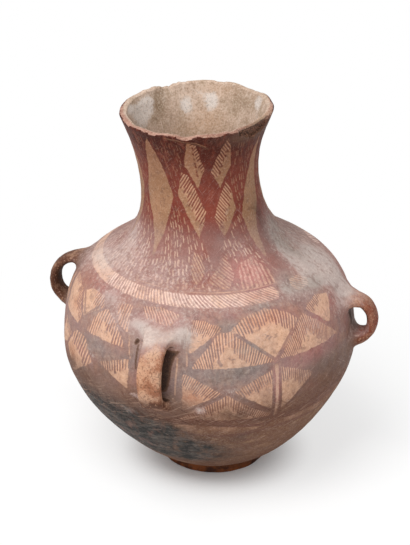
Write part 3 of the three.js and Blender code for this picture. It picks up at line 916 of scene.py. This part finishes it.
# How far a fillet's edge and the strap's hidden face are sunk into the wall
SUNK_EDGE, SUNK_FACE = 0.12, 1.2
STRAP_ANGLES = np.linspace(0, 2 * math.pi, STRAP_SIDES, endpoint=False)


def strap_lines(place):
    """Points of a strap's own surface, before its ends meet the wall. Its rows run down the arch."""
    centre, tangent = arch_points(place)
    t = np.linspace(0, 1, STRAP_ROWS)
    flare = 1 - smooth(np.minimum(t, 1 - t) / ROOT_SHARE, 0, 1)
    half_width = (STRAP_WIDTH + 2 * ROOT_WIDTH * flare) / 2
    half_thick = (STRAP_THICKNESS + 2 * ROOT_THICKNESS * flare) / 2
    across = rounded(np.cos(STRAP_ANGLES), place["round"])
    out = rounded(np.sin(STRAP_ANGLES), place["round"])
    out = np.where(out < 0, out * place["inner"], out)
    level = centre[:, None, 0] - tangent[:, None, 1] * half_thick[:, None] * out
    height = centre[:, None, 1] + tangent[:, None, 0] * half_thick[:, None] * out
    side = half_width[:, None] * across
    ox, oy = direction(place["turn"])
    mx, my = middle_at((place["top"] + place["bottom"]) / 2)
    return np.stack([mx + ox * level - oy * side, my + oy * level + ox * side, height], -1)


def strap_piece(name, place):
    """A strap: a flattened coil along its arch, with its ends smeared onto the wall by fillets."""
    lines = strap_lines(place)
    middle_row = STRAP_ROWS // 2
    upper = root(lines[middle_row::-1], place["turn"], place["upper"])
    lower = root(lines[middle_row:], place["turn"], place["lower"])
    grid = np.concatenate([upper[::-1], lower[1:]])
    lumps = 0.75 + 0.45 * lattice_noise(grid, 11.0, 51) + 0.2 * lattice_noise(grid, 4.0, 52)
    free = smooth(wall_gap(grid)[0], 0.5, 4.0)
    grid = grid - grid_normals(grid) * (np.maximum(lumps, 0) * free)[..., None]
    points, faces = capped(grid)

    gap, turn, z = wall_gap(points)
    values = paint_fields(turn, z)
    values["strap"] = smooth(gap, 0.8, 7.5)
    rows = len(grid)
    # The inner face gets painted shade and dirt, from the upper end's strength to the lower end's, and dust
    # near its lower end; near the wall the wall's values take over
    inner = np.append(np.tile(smooth(-np.sin(STRAP_ANGLES), 0.05, 0.7), rows), [0.0, 0.0])
    down = np.append(np.repeat(smooth(np.linspace(0, 1, rows), 0.45, 0.6), STRAP_SIDES), [0.0, 1.0])
    shade_and_dirt = place["shade_and_dirt"][0] + (place["shade_and_dirt"][1] - place["shade_and_dirt"][0]) * down
    near = smooth(gap, 0.2, 2.5)
    values["grime_and_shade"] = values["grime_and_shade"] * (1 - near) + (inner * shade_and_dirt + FAR_LINE) * near
    values["haze"] = np.maximum(values["haze"], place["dust"] * inner * down)
    return make_mesh(name, points, [f[:, ::-1] for f in faces], np.zeros(points.shape), values, turn, z)


def root(lines, strap_turn, fillet):
    """Rows from the strap's middle to its end, then a fillet and the hidden face against the wall.
    fillet is how far it spreads over the wall outside the arch, inside it, and more at the sides."""
    gap, _, _ = wall_gap(lines)
    sides = lines.shape[1]
    step = np.linalg.norm(np.diff(lines, axis=0), axis=2)
    length = np.vstack([np.zeros(sides), np.cumsum(step, axis=0)])
    contact = np.array([np.argmax(gap[:, j] < 0.0) for j in range(sides)])
    contact = np.where(gap.min(axis=0) < 0, contact, len(gap) - 1)
    touch = lines[contact, np.arange(sides)]

    # Where each line touches the wall, laid out flat, and where the fillet lands beyond that
    _, touch_turn, touch_z = wall_gap(touch)
    scale = radius_at(touch_z.mean())
    u, v = np.radians(turn_gap(touch_turn, strap_turn)) * scale, arc_at(touch_z)
    middle_u, middle_v = u.mean(), v.mean()
    du, dv = u - middle_u, v - middle_v
    far = np.hypot(du, dv)
    outside = (1 + np.sin(STRAP_ANGLES)) / 2
    spread = fillet[1] + (fillet[0] - fillet[1]) * outside ** 1.5 + fillet[2] * np.cos(STRAP_ANGLES) ** 2
    end_u, end_v = u + du / far * spread, v + dv / far * spread
    landing = on_wall(strap_turn + np.degrees(end_u / scale), end_v, SUNK_EDGE)

    # The fillet leaves each line before it touches the wall
    stop = length[contact, np.arange(sides)] - np.maximum(spread * 0.9, 3.0)

    def along(j, at):
        return [np.interp(at, length[:, j], lines[:, j, k]) for k in range(3)]

    shares = np.linspace(0, 1, ROOT_ROWS)
    body = np.array([[along(j, share * stop[j]) for j in range(sides)] for share in shares])
    t = np.linspace(0, 1, FILLET_STEPS + 1)[1:, None, None]
    smear = (1 - t) ** 2 * body[-1] + 2 * (1 - t) * t * touch + t * t * landing
    face = []
    for share in (0.8, 0.5, 0.2):
        at_turn = strap_turn + np.degrees((middle_u + (end_u - middle_u) * share) / scale)
        face.append(on_wall(at_turn, middle_v + (end_v - middle_v) * share, SUNK_FACE))
    return np.concatenate([body, smear, np.array(face)])


# The neck's dashes: how many columns go round it, and the height of a row in mm
DASH_COLUMNS, DASH_PITCH = 126, 8.8

# The clay's shine, and the strength and the depth in mm of its finest bumps
SHINE, BUMP_STRENGTH, BUMP_DEPTH = 0.12, 0.5, 0.6


class Wire:
    """A node's output. Adding, subtracting and multiplying wires adds the nodes that do it."""

    def __init__(self, nodes, socket):
        self.nodes = nodes
        self.socket = socket

    def __add__(self, other):
        return self.nodes.math("ADD", self, other)

    def __sub__(self, other):
        return self.nodes.math("SUBTRACT", self, other)

    def __rsub__(self, other):
        return self.nodes.math("SUBTRACT", other, self)

    def __mul__(self, other):
        return self.nodes.math("MULTIPLY", self, other)

    def __abs__(self):
        return self.nodes.math("ABSOLUTE", self)


class Nodes:
    """Adds shader nodes to a material and joins them up. A value is a number, a colour or a wire."""

    def __init__(self, material):
        material.use_nodes = True
        self.tree = material.node_tree
        self.tree.nodes.clear()

    def add(self, kind, **settings):
        node = self.tree.nodes.new(kind)
        for key, value in settings.items():
            setattr(node, key, value)
        return node

    def read(self, node, output=0):
        return Wire(self, node.outputs[output])

    def feed(self, socket, value):
        if isinstance(value, Wire):
            self.tree.links.new(value.socket, socket)
        elif isinstance(value, str):
            socket.default_value = (*linear(value), 1)
        else:
            socket.default_value = value

    def filled(self, kind, values, output=0, **settings):
        """A new node whose inputs take values in order, read at one output."""
        node = self.add(kind, **settings)
        for socket, value in zip(node.inputs, values):
            self.feed(socket, value)
        return self.read(node, output)

    def math(self, operation, *values, clamp=False):
        return self.filled("ShaderNodeMath", values, operation=operation, use_clamp=clamp)

    def larger(self, a, b):
        return self.math("MAXIMUM", a, b)

    def whole(self, value):
        return self.math("FLOOR", value)

    def from_middle(self, value):
        """How far a value is from half way between two whole numbers."""
        return abs(self.math("FRACT", value) - 0.5)

    def mix(self, share, a, b):
        node = self.add("ShaderNodeMix", data_type="RGBA", blend_type="MIX", clamp_factor=True)
        for number, value in ((0, share), (6, a), (7, b)):
            self.feed(node.inputs[number], value)
        return self.read(node, 2)

    def step(self, value, low, high, to_low=0.0, to_high=1.0):
        """to_low where value is at low, to_high where it is at high, and a smooth change between them."""
        values = (value, low, high, to_low, to_high)
        return self.filled("ShaderNodeMapRange", values, interpolation_type="SMOOTHSTEP", clamp=True)

    def tint(self, colour, other, value, low, high, share=1.0):
        """A colour with another over it: none of it where value is at low, and share of it at high."""
        return self.mix(self.step(value, low, high, 0.0, share), colour, other)

    def noise(self, vector, size, detail=3.0, roughness=0.55):
        """Noise from about 0 to 1 whose lumps are about size mm across."""
        node = self.add("ShaderNodeTexNoise")
        self.feed(node.inputs["Vector"], vector)
        node.inputs["Scale"].default_value = 1 / MM / size
        node.inputs["Detail"].default_value = detail
        node.inputs["Roughness"].default_value = roughness
        node.inputs["Distortion"].default_value = 0.0
        return self.read(node)

    def value(self, name):
        """A value painted on the mesh."""
        return self.read(self.add("ShaderNodeAttribute", attribute_name=name), "Fac")

    def vector(self, x, y, z=0.0):
        return self.filled("ShaderNodeCombineXYZ", (x, y, z))

    def stretched(self, vector, scale):
        return self.filled("ShaderNodeVectorMath", (vector, scale), operation="MULTIPLY")

    def chance(self, x, y=0.0):
        """A random number from 0 to 1 for each whole x and y."""
        return self.filled("ShaderNodeTexWhiteNoise", (self.vector(x, y),), "Value", noise_dimensions="2D")


def linear(colour):
    """An sRGB colour such as '#a87f62' as linear red, green and blue."""
    parts = [int(colour[i:i + 2], 16) / 255 for i in (1, 3, 5)]
    return [c / 12.92 if c <= 0.04045 else ((c + 0.055) / 1.055) ** 2.4 for c in parts]


# The clay's material is made in layers. Each function below adds one, and keeps in n what later ones read
def add_noises(n):
    """The noises that the layers share, and a point's place round the jar and along its wall."""
    n.position = n.read(n.add("ShaderNodeTexCoord"), "Object")
    n.wobble = n.noise(n.position, 7.0, 3) - 0.5
    n.fine_wobble = n.noise(n.position, 2.2, 2) - 0.5
    n.cloud = n.noise(n.position, 45.0, 5, 0.6)
    n.blotch = n.noise(n.position, 14.0, 4, 0.6)
    n.mottle = n.noise(n.position, 5.0, 4, 0.65)
    n.speckle = n.noise(n.position, 2.4, 3, 0.7)
    n.fleck = n.noise(n.position, 1.7, 2, 0.6)
    n.grain = n.noise(n.position, 0.9, 2, 0.7)
    n.upright = n.stretched(n.position, (1.0, 1.0, 0.3))
    n.streak = n.noise(n.upright, 5.0, 4, 0.65)
    n.brushed = n.noise(n.stretched(n.position, (0.25, 0.25, 1.0)), 4.0, 4, 0.7)
    split = n.add("ShaderNodeSeparateXYZ")
    n.feed(split.inputs[0], n.read(n.add("ShaderNodeAttribute", attribute_name="place"), "Vector"))
    n.x, n.y, n.arc = [n.read(split, i) for i in range(3)]
    n.turn = n.math("ARCTAN2", n.x, n.y)


def add_painting(n):
    """Where the ground shows and where strokes and brush lines cover it."""
    n.edge = n.value("field") + n.wobble * 3.2 + n.fine_wobble * 1.3
    n.ground_share = n.step(n.edge, -0.45, 0.45)
    stroke = n.value("stroke") + n.wobble * 0.55
    which = n.whole(stroke)
    half_stroke = n.value("band") * 0.03 + 0.265 + (n.chance(which, 3.0) - 0.5) * 0.14
    in_stroke = half_stroke - (n.from_middle(stroke) + n.fine_wobble * 0.2)
    reach = n.value("fringe") + (n.chance(which, 9.0) - 0.6) * 4.5
    n.stroke_share = n.step(in_stroke, -0.07, 0.07) * n.step(reach, -0.8, 0.8)
    n.stroke_share = n.stroke_share * n.step(n.chance(which, 5.0), 0.0, 0.35, 0.7, 1.0)
    line = n.value("line") + n.wobble * 1.4 + n.fine_wobble * 0.9
    n.line_share = n.step(line, -0.4, 0.4) * n.step(n.streak, 0.25, 0.6, 0.55, 1.0)


def add_dashes(n):
    """Short upright dashes scraped through the red of the neck, in columns and rows of uneven places."""
    column = n.turn * (DASH_COLUMNS / (2 * math.pi)) + n.wobble - n.arc * 45.0
    number = n.whole(column)
    row = n.arc * (1 / MM / DASH_PITCH) + n.chance(number, 1.0) * 7.0
    row_number = n.whole(row)
    jitter = (n.chance(number, row_number) - 0.5) * 0.5
    beside = abs(n.math("FRACT", column) + jitter - 0.5)
    n.dash = n.step(beside, 0.24, 0.13) * n.step(n.from_middle(row), 0.42, 0.3)
    kept = n.step(n.chance(number + 50.0, row_number), 0.1, 0.4)
    n.dash = n.dash * kept * n.value("dashed")
    n.dash = n.dash * n.step(n.blotch, 0.3, 0.6, 0.3, 1.0) * n.step(n.edge, -2.0, -3.8)
    n.dash = n.dash * (1.0 - n.value("neck_top") * 0.55)


def slanted_noise(n, rise, size):
    """Noise drawn out in long lines round the jar that climb by rise."""
    slope = n.vector(n.x * 0.1, n.y * 0.1, n.arc + n.turn * rise)
    return n.noise(n.stretched(slope, (0.12, 0.12, 1.0)), size, 3, 0.7)


def add_scratches(n):
    n.scratch = slanted_noise(n, 0.06, 1.6)
    n.scratch_back = slanted_noise(n, -0.09, 1.8)
    n.scratched = n.larger(n.step(n.scratch, 0.58, 0.74), n.step(n.scratch_back, 0.6, 0.76))
    n.scratched = n.scratched * n.step(n.cloud, 0.35, 0.6, 0.25, 1.0)
    n.scratched = n.scratched * (1.0 - n.value("neck_top") * 0.7)


def add_wear(n):
    """How much paint is left where there was any."""
    bare_ground = n.ground_share * (1.0 - n.stroke_share * 0.9)
    n.painted = n.larger(1.0 - bare_ground, n.line_share) * (1.0 - n.dash)
    worn = n.step(n.blotch * 0.6 + n.streak * 0.4, 0.42, 0.72, 1.0, 0.62)
    worn = n.math("ADD", worn, n.value("neck_red") * 0.25, clamp=True)
    n.painted = n.painted * worn * (1.0 - n.step(n.value("pale_line"), -0.3, 0.3, 0.0, 0.8))


def base_colour(n):
    """The brushed, burnt clay below the painting."""
    base = n.tint("#8d6a50", "#72523f", n.cloud, 0.35, 0.65)
    base = n.tint(base, "#5d4a3f", n.blotch, 0.5, 0.72, 0.6)
    base = n.tint(base, "#5f3b2d", n.brushed, 0.5, 0.6, 0.75)
    return n.tint(base, "#a5835f", n.brushed, 0.48, 0.38, 0.65)


def ground_colour(n):
    neck, rose = n.value("neck_red"), n.value("rose")
    ground = n.tint("#dcaf92", "#cb9d82", n.cloud, 0.35, 0.65)
    ground = n.tint(ground, "#b9845f", n.speckle, 0.35, 0.7, 0.5)
    hatched = n.step(n.value("fringe"), -1.0, 2.0) * n.step(n.blotch, 0.3, 0.6, 0.2, 0.65)
    ground = n.mix(hatched, ground, "#d69c7c")
    ground = n.tint(ground, "#b08062", n.blotch, 0.52, 0.66, 0.45)
    ground = n.mix(neck, ground, n.tint("#a67c5f", "#916a4e", n.cloud, 0.35, 0.65))
    ground = n.mix(neck * n.step(n.speckle, 0.55, 0.7, 0.0, 0.5), ground, "#8f6749")
    ground = n.mix(neck * hatched * 0.85, ground, "#d2a283")
    ground = n.mix(n.value("band"), ground, n.tint("#e8cabb", "#deb397", n.cloud, 0.42, 0.62))
    ground = n.mix(rose * n.step(neck, 0.0, 1.0, 0.5, 0.9), ground, "#d0a092")
    broken = n.step(n.noise(n.upright, 2.6, 2, 0.6), 0.42, 0.56, 0.75, 0.1)
    ground = n.mix(n.value("tier") * broken, ground, n.mix(rose, "#93685c", "#b4746a"))
    ground = n.mix(n.value("neck_top") * 0.7, ground, "#84553d")
    ground = n.mix(n.value("orange") * n.step(n.blotch, 0.3, 0.6, 0.4, 0.9), ground, "#c47a50")
    return n.mix(n.value("base"), ground, base_colour(n))


def neck_paint(n):
    red = n.tint("#803d30", "#6d3127", n.cloud, 0.35, 0.65)
    red = n.tint(red, "#8a483a", n.blotch, 0.5, 0.7, 0.6)
    red = n.mix(n.value("neck_top"), red, n.tint("#3d140b", "#532013", n.streak, 0.4, 0.65))
    red = n.mix(n.value("rose") * 0.9, red, "#ac6a62")
    return n.tint(red, "#8a4a38", n.streak, 0.5, 0.75, 0.45)


def paint_colour(n):
    paint = n.tint("#966558", "#805c57", n.cloud, 0.4, 0.6)
    paint = n.tint(paint, "#7a4c40", n.blotch, 0.5, 0.66, 0.5)
    paint = n.tint(paint, "#a98076", n.streak, 0.5, 0.38, 0.4)
    paint = n.mix(n.value("grey") * 0.9, paint, n.tint("#7a6965", "#6a5a56", n.blotch, 0.4, 0.65))
    paint = n.mix(n.value("rose") * 0.9, paint, "#a05c59")
    paint = n.mix(n.value("neck_red"), paint, neck_paint(n))
    paint = n.mix(n.value("band") * 0.9, paint, "#a97f78")
    paint = n.mix(n.value("umber") * 0.85, paint, "#5b3f35")
    return n.mix(n.value("orange") * 0.35, paint, "#8e5138")


def painted_clay(n):
    """Paint over ground, darker towards the base, partly as painted shade under the belly."""
    low = n.value("low")
    colour = n.mix(n.painted, ground_colour(n), paint_colour(n))
    colour = n.mix(n.value("umber") * n.step(n.blotch, 0.3, 0.65, 0.3, 0.75), colour, "#634638")
    # Darker towards the base: partly painted shade under the belly
    colour = n.mix(low * n.step(n.blotch, 0.3, 0.65, 0.5, 0.9), colour, "#6b4836")
    return n.mix(n.line_share * n.step(low, 0.0, 0.5) * 0.6, colour, "#5d3a2f")


def rubbed_clay(n, colour):
    """Wear in spots and streaks, the mauve veil and what shows through it."""
    bright = (1.0 - n.painted) * (1.0 - n.larger(n.value("neck_red"), n.value("low")))
    colour = n.mix(n.step(n.mottle, 0.52, 0.64, 0.0, 0.3) * bright, colour, "#e0b898")
    colour = n.tint(colour, "#5c3d35", n.mottle, 0.47, 0.36, 0.34)
    veil = n.value("mauve") * (1.0 - n.value("tier") * 0.75)
    colour = n.mix(veil * n.step(n.blotch, 0.3, 0.6, 0.3, 0.5), colour, "#9a7a73")
    inked = n.stroke_share * n.ground_share * (1.0 - n.larger(n.value("band"), n.value("tier")))
    colour = n.mix(inked * 0.3, colour, "#6a3a30")
    colour = n.mix(n.value("solid") * 0.4, colour, "#7d5852")
    colour = n.mix(n.dash * n.value("mauve") * 0.5, colour, "#cfae9d")
    colour = n.mix(n.dash * n.value("neck_red") * 0.16, colour, "#bd9078")
    colour = n.mix(n.value("film") * n.step(n.cloud, 0.35, 0.65, 0.02, 0.12), colour, "#ddd3cd")
    colour = n.mix(n.step(n.fleck, 0.52, 0.68, 0.0, 0.12) * (1.0 - n.painted * 0.75), colour, "#ecd0b8")
    colour = n.tint(colour, "#5a3629", n.fleck, 0.48, 0.34, 0.14)
    return n.mix(n.scratched * 0.3, colour, "#d5bfb2")


def add_haze(n):
    """The pale deposit's colour and how much of it lies on the clay."""
    haze, grey = n.value("haze"), n.value("grey")
    n.pale = n.tint("#c5a9a1", "#ac928d", n.blotch, 0.4, 0.6)
    n.pale = n.mix(n.step(haze, 0.75, 1.2), n.pale, n.tint("#d6c9c1", "#bfb0aa", n.speckle, 0.4, 0.6))
    n.pale = n.mix(grey * 0.8, n.pale, n.tint("#aca298", "#918a83", n.streak, 0.4, 0.6))
    crusty = n.blotch * 0.45 + (n.speckle + n.streak) * 0.5
    crusty = haze * 0.7 + (crusty - 0.72) * 1.5
    open_band = n.value("band") * (0.75 - grey * 0.6)
    showing = n.larger(n.ground_share * n.value("neck_red"), n.value("solid")) * 0.75
    n.haze = n.step(crusty, 0.1, 0.9, 0.0, 0.75) * (1.0 - open_band - showing)


def dusted_clay(n, colour):
    """The pale deposit, the grey patches and the soot."""
    hazy, grey, soot = n.step(n.value("haze"), 0.1, 0.7), n.value("grey"), n.value("soot")
    colour = n.mix(n.haze, colour, n.pale)
    colour = n.mix(n.dash * n.haze * 0.5, colour, "#d8bcae")
    colour = n.mix(hazy * n.step(n.speckle, 0.5, 0.66, 0.0, 0.32), colour, "#d8c5bb")
    colour = n.mix(hazy * n.step(n.streak, 0.5, 0.36, 0.0, 0.42), colour, "#86665d")
    dull = n.tint("#7e7069", "#a4958c", n.mottle, 0.42, 0.58)
    colour = n.mix(grey * n.step(n.blotch, 0.35, 0.65, 0.1, 0.45), colour, dull)
    colour = n.mix(grey * n.painted * n.step(n.speckle, 0.5, 0.66, 0.0, 0.4), colour, "#a99d96")
    colour = n.mix(grey * n.painted * n.step(n.streak, 0.5, 0.36, 0.0, 0.28), colour, "#5f524b")
    black = n.tint("#252423", "#514a45", n.mottle * 0.3 + n.brushed * 0.7, 0.43, 0.6)
    sooty = soot * n.step(n.blotch * 0.5 + n.streak * 0.5, 0.32, 0.62, 0.35, 1.0)
    colour = n.mix(sooty, colour, black)
    colour = n.mix(soot * n.scratched * n.step(n.blotch, 0.35, 0.6, 0.1, 0.7), colour, "#a39a92")
    rubbed = n.value("umber") * n.value("low")
    colour = n.mix(rubbed * n.step(n.scratch_back, 0.46, 0.34, 0.0, 0.7), colour, "#45291f")
    return n.mix(rubbed * n.step(n.scratch, 0.54, 0.66, 0.0, 0.45), colour, "#a8846e")


def bare_colour(n):
    """Bare clay on the lip and in flakes."""
    raw = n.tint("#ae8778", "#946d5e", n.blotch, 0.35, 0.65)
    raw = n.mix(n.value("rose") * 0.8, raw, "#bd8578")
    raw = n.tint(raw, "#7d5646", n.speckle, 0.5, 0.62, 0.45)
    raw = n.tint(raw, "#c9a793", n.fleck, 0.5, 0.62, 0.45)
    raw = n.mix(n.value("umber") * 0.95, raw, n.tint("#3a261d", "#7b5644", n.fleck, 0.4, 0.6))
    return n.mix(n.value("haze") * 0.95, raw, "#dcc6a4")


def inside_colour(n):
    within = n.tint("#c8b09e", "#b59c89", n.cloud, 0.35, 0.65)
    within = n.tint(within, "#a08a74", n.blotch, 0.5, 0.35, 0.6)
    within = n.tint(within, "#d6c3b4", n.streak, 0.52, 0.66, 0.5)
    within = n.tint(within, "#8f7863", n.streak, 0.46, 0.34, 0.4)
    within = n.mix(n.value("orange") * 0.5, within, "#c69c78")
    within = n.mix(n.value("umber") * 0.75, within, "#7f6a52")
    crust = n.value("haze") * 0.42 + (n.blotch + n.speckle) * 0.45
    within = n.tint(within, "#dbd2cb", crust, 0.62, 0.82, 0.85)
    within = n.tint(within, "#957b66", n.speckle, 0.5, 0.66, 0.35)
    within = n.tint(within, "#ddc9b8", n.fleck, 0.5, 0.64, 0.35)
    within = n.tint(within, "#7a634f", n.fleck, 0.46, 0.34, 0.35)
    return n.tint(within, "#6d5a48", n.grain, 0.58, 0.68, 0.25)


def strap_colour(n):
    handle = n.tint("#c29a80", "#a36f54", n.blotch, 0.36, 0.62)
    handle = n.mix(n.value("orange") * 0.7, handle, "#cf9672")
    handle = n.tint(handle, "#7d4c36", n.blotch, 0.48, 0.66, 0.55)
    # Umber darkens the straps; on the far-side left strap this is partly painted shade
    handle = n.mix(n.value("umber") * n.step(n.blotch, 0.35, 0.6, 0.55, 0.95), handle, "#573526")
    handle = n.mix(n.value("rose") * n.step(n.blotch, 0.4, 0.6, 0.7, 1.0), handle, "#7f3b2a")
    handle = n.tint(handle, "#cfa284", n.speckle, 0.54, 0.66, 0.45)
    handle = n.tint(handle, "#4f3224", n.fleck, 0.5, 0.36, 0.5)
    return n.mix(n.haze, handle, n.pale)


def grimy_and_shaded_clay(n, colour):
    """Painted shade and dirt in the hollow of the front strap and on the straps' inner faces, painted shade
    under the right strap's upper root, and dirt in cracks.
    """
    grime_and_shade = n.value("grime_and_shade") + n.fine_wobble * 1.6
    shade_and_dirt = n.tint("#2a1a12", "#49321f", n.speckle, 0.45, 0.7)
    return n.tint(colour, n.tint("#5d4030", shade_and_dirt, grime_and_shade, 0.3, 2.6), grime_and_shade, -0.9, 0.6, 0.88)


def foot_colour(n):
    foot = n.tint("#4a2b20", "#8a4f2d", n.blotch, 0.42, 0.62)
    return n.tint(foot, "#2f211c", n.cloud, 0.5, 0.65, 0.6)


def add_surface(n, colour):
    """A dull, finely rough surface of a colour."""
    shader = n.add("ShaderNodeBsdfPrincipled")
    n.feed(shader.inputs["Base Color"], colour)
    n.feed(shader.inputs["Roughness"], n.step(n.speckle * 0.5 + n.blotch * 0.5, 0.3, 0.7, 0.5, 0.82))
    shader.inputs["Specular IOR Level"].default_value = SHINE
    bump = n.add("ShaderNodeBump")
    bump.inputs["Strength"].default_value = BUMP_STRENGTH
    bump.inputs["Distance"].default_value = BUMP_DEPTH * MM
    n.feed(bump.inputs["Height"], n.speckle * 0.8 + n.grain * 0.5 + n.streak * 0.5)
    n.feed(shader.inputs["Normal"], n.read(bump))
    output = n.add("ShaderNodeOutputMaterial")
    n.feed(output.inputs["Surface"], n.read(shader))


def clay(name):
    """Painted, burnished and worn clay. It reads the values painted on the mesh."""
    material = bpy.data.materials.new(name)
    n = Nodes(material)
    for layer in (add_noises, add_painting, add_dashes, add_scratches, add_wear, add_haze):
        layer(n)
    colour = dusted_clay(n, rubbed_clay(n, painted_clay(n)))
    bare = n.value("bare") + (n.wobble + n.fine_wobble) * 0.6
    colour = n.tint(colour, bare_colour(n), bare, 0.42, 0.6)
    colour = n.mix(n.value("inside"), colour, inside_colour(n))
    colour = n.mix(n.value("strap"), colour, strap_colour(n))
    # Painted shade and dirt in the front strap's hollow, on the straps' inner faces and under the right
    # strap's root
    colour = grimy_and_shaded_clay(n, colour)
    colour = n.mix(n.value("foot"), colour, foot_colour(n))
    colour = n.tint(colour, "#f0e0d0", n.grain, 0.6, 0.75, 0.15)
    colour = n.tint(colour, "#2c201a", n.grain, 0.4, 0.25, 0.2)
    add_surface(n, colour)
    return material


def place_piece(piece, node, slot):
    piece.data.materials.append(CLAYS[slot])
    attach(piece, "root")
    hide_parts(node)


CLAYS = {slot: clay(slot) for slot in ("foot_clay", "body_clay", "neck_clay", "rim_clay", "handle_clay")}
body_below, body_above = lap(BODY_JOINT)
neck_below, neck_above = lap(NECK_Z)
rim_below, rim_above = lap(RIM_JOINT)
bowl_low = (FOOT_TOP + BED, FOOT_TOP + BED)

place_piece(foot_piece("clay_foot"), "foot_disc", "foot_clay")
place_piece(wall_ring("clay_bowl", bowl_low, body_below), "lower_body", "body_clay")
place_piece(wall_ring("clay_shoulder", body_above, neck_below), "upper_body", "body_clay")
place_piece(wall_ring("clay_neck", neck_above, rim_below), "neck", "neck_clay")
place_piece(rim_piece("clay_rim", rim_above), "rim", "rim_clay")
for side, place in STRAPS.items():
    place_piece(strap_piece("clay_strap_" + side, place), "handle_" + side, "handle_clay")


# The camera, fitted to the photograph, then the floor and the lamp, in degrees and metres
ELEVATION, AZIMUTH, DISTANCE = 25.87, 20.0, 1.803
AIM_SIDE, AIM_HEIGHT = -0.00895, 0.187
FOCAL_PIXELS, IMAGE_HEIGHT, SENSOR = 1944.0, 545, 36.0
FLOOR_HALF, LAMP_AIM_HEIGHT = 6.0, 0.17


def look_from(thing, aim, azimuth, elevation, distance):
    """Adds a camera or a lamp that looks at aim from a side, a height, both in degrees, and a distance."""
    a, e = math.radians(azimuth), math.radians(elevation)
    back = Vector((math.sin(a) * math.cos(e), -math.cos(a) * math.cos(e), math.sin(e)))
    thing.location = aim + back * distance
    thing.rotation_mode = "QUATERNION"
    thing.rotation_quaternion = (-back).to_track_quat("-Z", "Y")
    bpy.context.scene.collection.objects.link(thing)


def make_camera():
    data = bpy.data.cameras.new("camera")
    data.sensor_width = SENSOR
    data.lens = FOCAL_PIXELS * SENSOR / IMAGE_HEIGHT
    a = math.radians(AZIMUTH)
    aim = Vector((math.cos(a), math.sin(a), 0)) * AIM_SIDE + Vector((0, 0, AIM_HEIGHT))
    camera = bpy.data.objects.new("camera", data)
    look_from(camera, aim, AZIMUTH, ELEVATION, DISTANCE)
    bpy.context.scene.camera = camera


def floor_material():
    """Pale where light falls on it. The camera sees more and more plain white away from the jar."""
    material = bpy.data.materials.new("floor_pale")
    n = Nodes(material)
    place = n.read(n.add("ShaderNodeTexCoord"), "Object")
    plain = n.add("ShaderNodeBsdfDiffuse")
    n.feed(plain.inputs["Color"], n.mix(n.noise(place, 400.0, 2), "#fafafa", "#fdfdfd"))
    distance = n.filled("ShaderNodeVectorMath", (place,), "Value", operation="LENGTH")
    white = n.step(distance, 0.045, 0.1, 0.1, 0.66) + n.step(distance, 0.1, 0.45, 0.0, 0.34)
    seen = n.read(n.add("ShaderNodeLightPath"), "Is Camera Ray")
    glow = n.read(n.add("ShaderNodeEmission"))
    blend = n.filled("ShaderNodeMixShader", (seen * white, n.read(plain), glow))
    n.feed(n.add("ShaderNodeOutputMaterial").inputs["Surface"], blend)
    return material


def make_floor():
    """A pale floor that keeps the shadow."""
    mesh = bpy.data.meshes.new("floor")
    corners = [(x * FLOOR_HALF, y * FLOOR_HALF, 0) for x, y in ((-1, -1), (1, -1), (1, 1), (-1, 1))]
    mesh.from_pydata(corners, [], [(0, 1, 2, 3)])
    floor = bpy.data.objects.new("floor", mesh)
    bpy.context.scene.collection.objects.link(floor)
    mesh.materials.append(floor_material())


def make_world():
    """Even light from all round, and plain white where the camera or a reflection sees it."""
    world = bpy.data.worlds.new("studio")
    bpy.context.scene.world = world
    n = Nodes(world)
    path = n.add("ShaderNodeLightPath")
    rays = [n.read(path, "Is " + kind + " Ray") for kind in ("Camera", "Glossy", "Transmission")]
    seen = n.larger(n.larger(rays[0], rays[1]), rays[2])
    background = n.add("ShaderNodeBackground")
    background.inputs["Color"].default_value = (1, 1, 1, 1)
    n.feed(background.inputs["Strength"], n.step(seen, 0.0, 1.0, 0.5, 1.0))
    n.feed(n.add("ShaderNodeOutputWorld").inputs["Surface"], n.read(background))


def make_lamp(name, azimuth, elevation, distance, size, power):
    """A square soft lamp that looks at the jar's middle."""
    data = bpy.data.lights.new(name, "AREA")
    data.size = size
    data.energy = power
    lamp = bpy.data.objects.new(name, data)
    look_from(lamp, Vector((0, 0, LAMP_AIM_HEIGHT)), azimuth, elevation, distance)


make_camera()
make_floor()
make_world()
make_lamp("key", azimuth=-12, elevation=60, distance=2.2, size=1.2, power=44)
bpy.context.scene.view_settings.view_transform = "Standard"
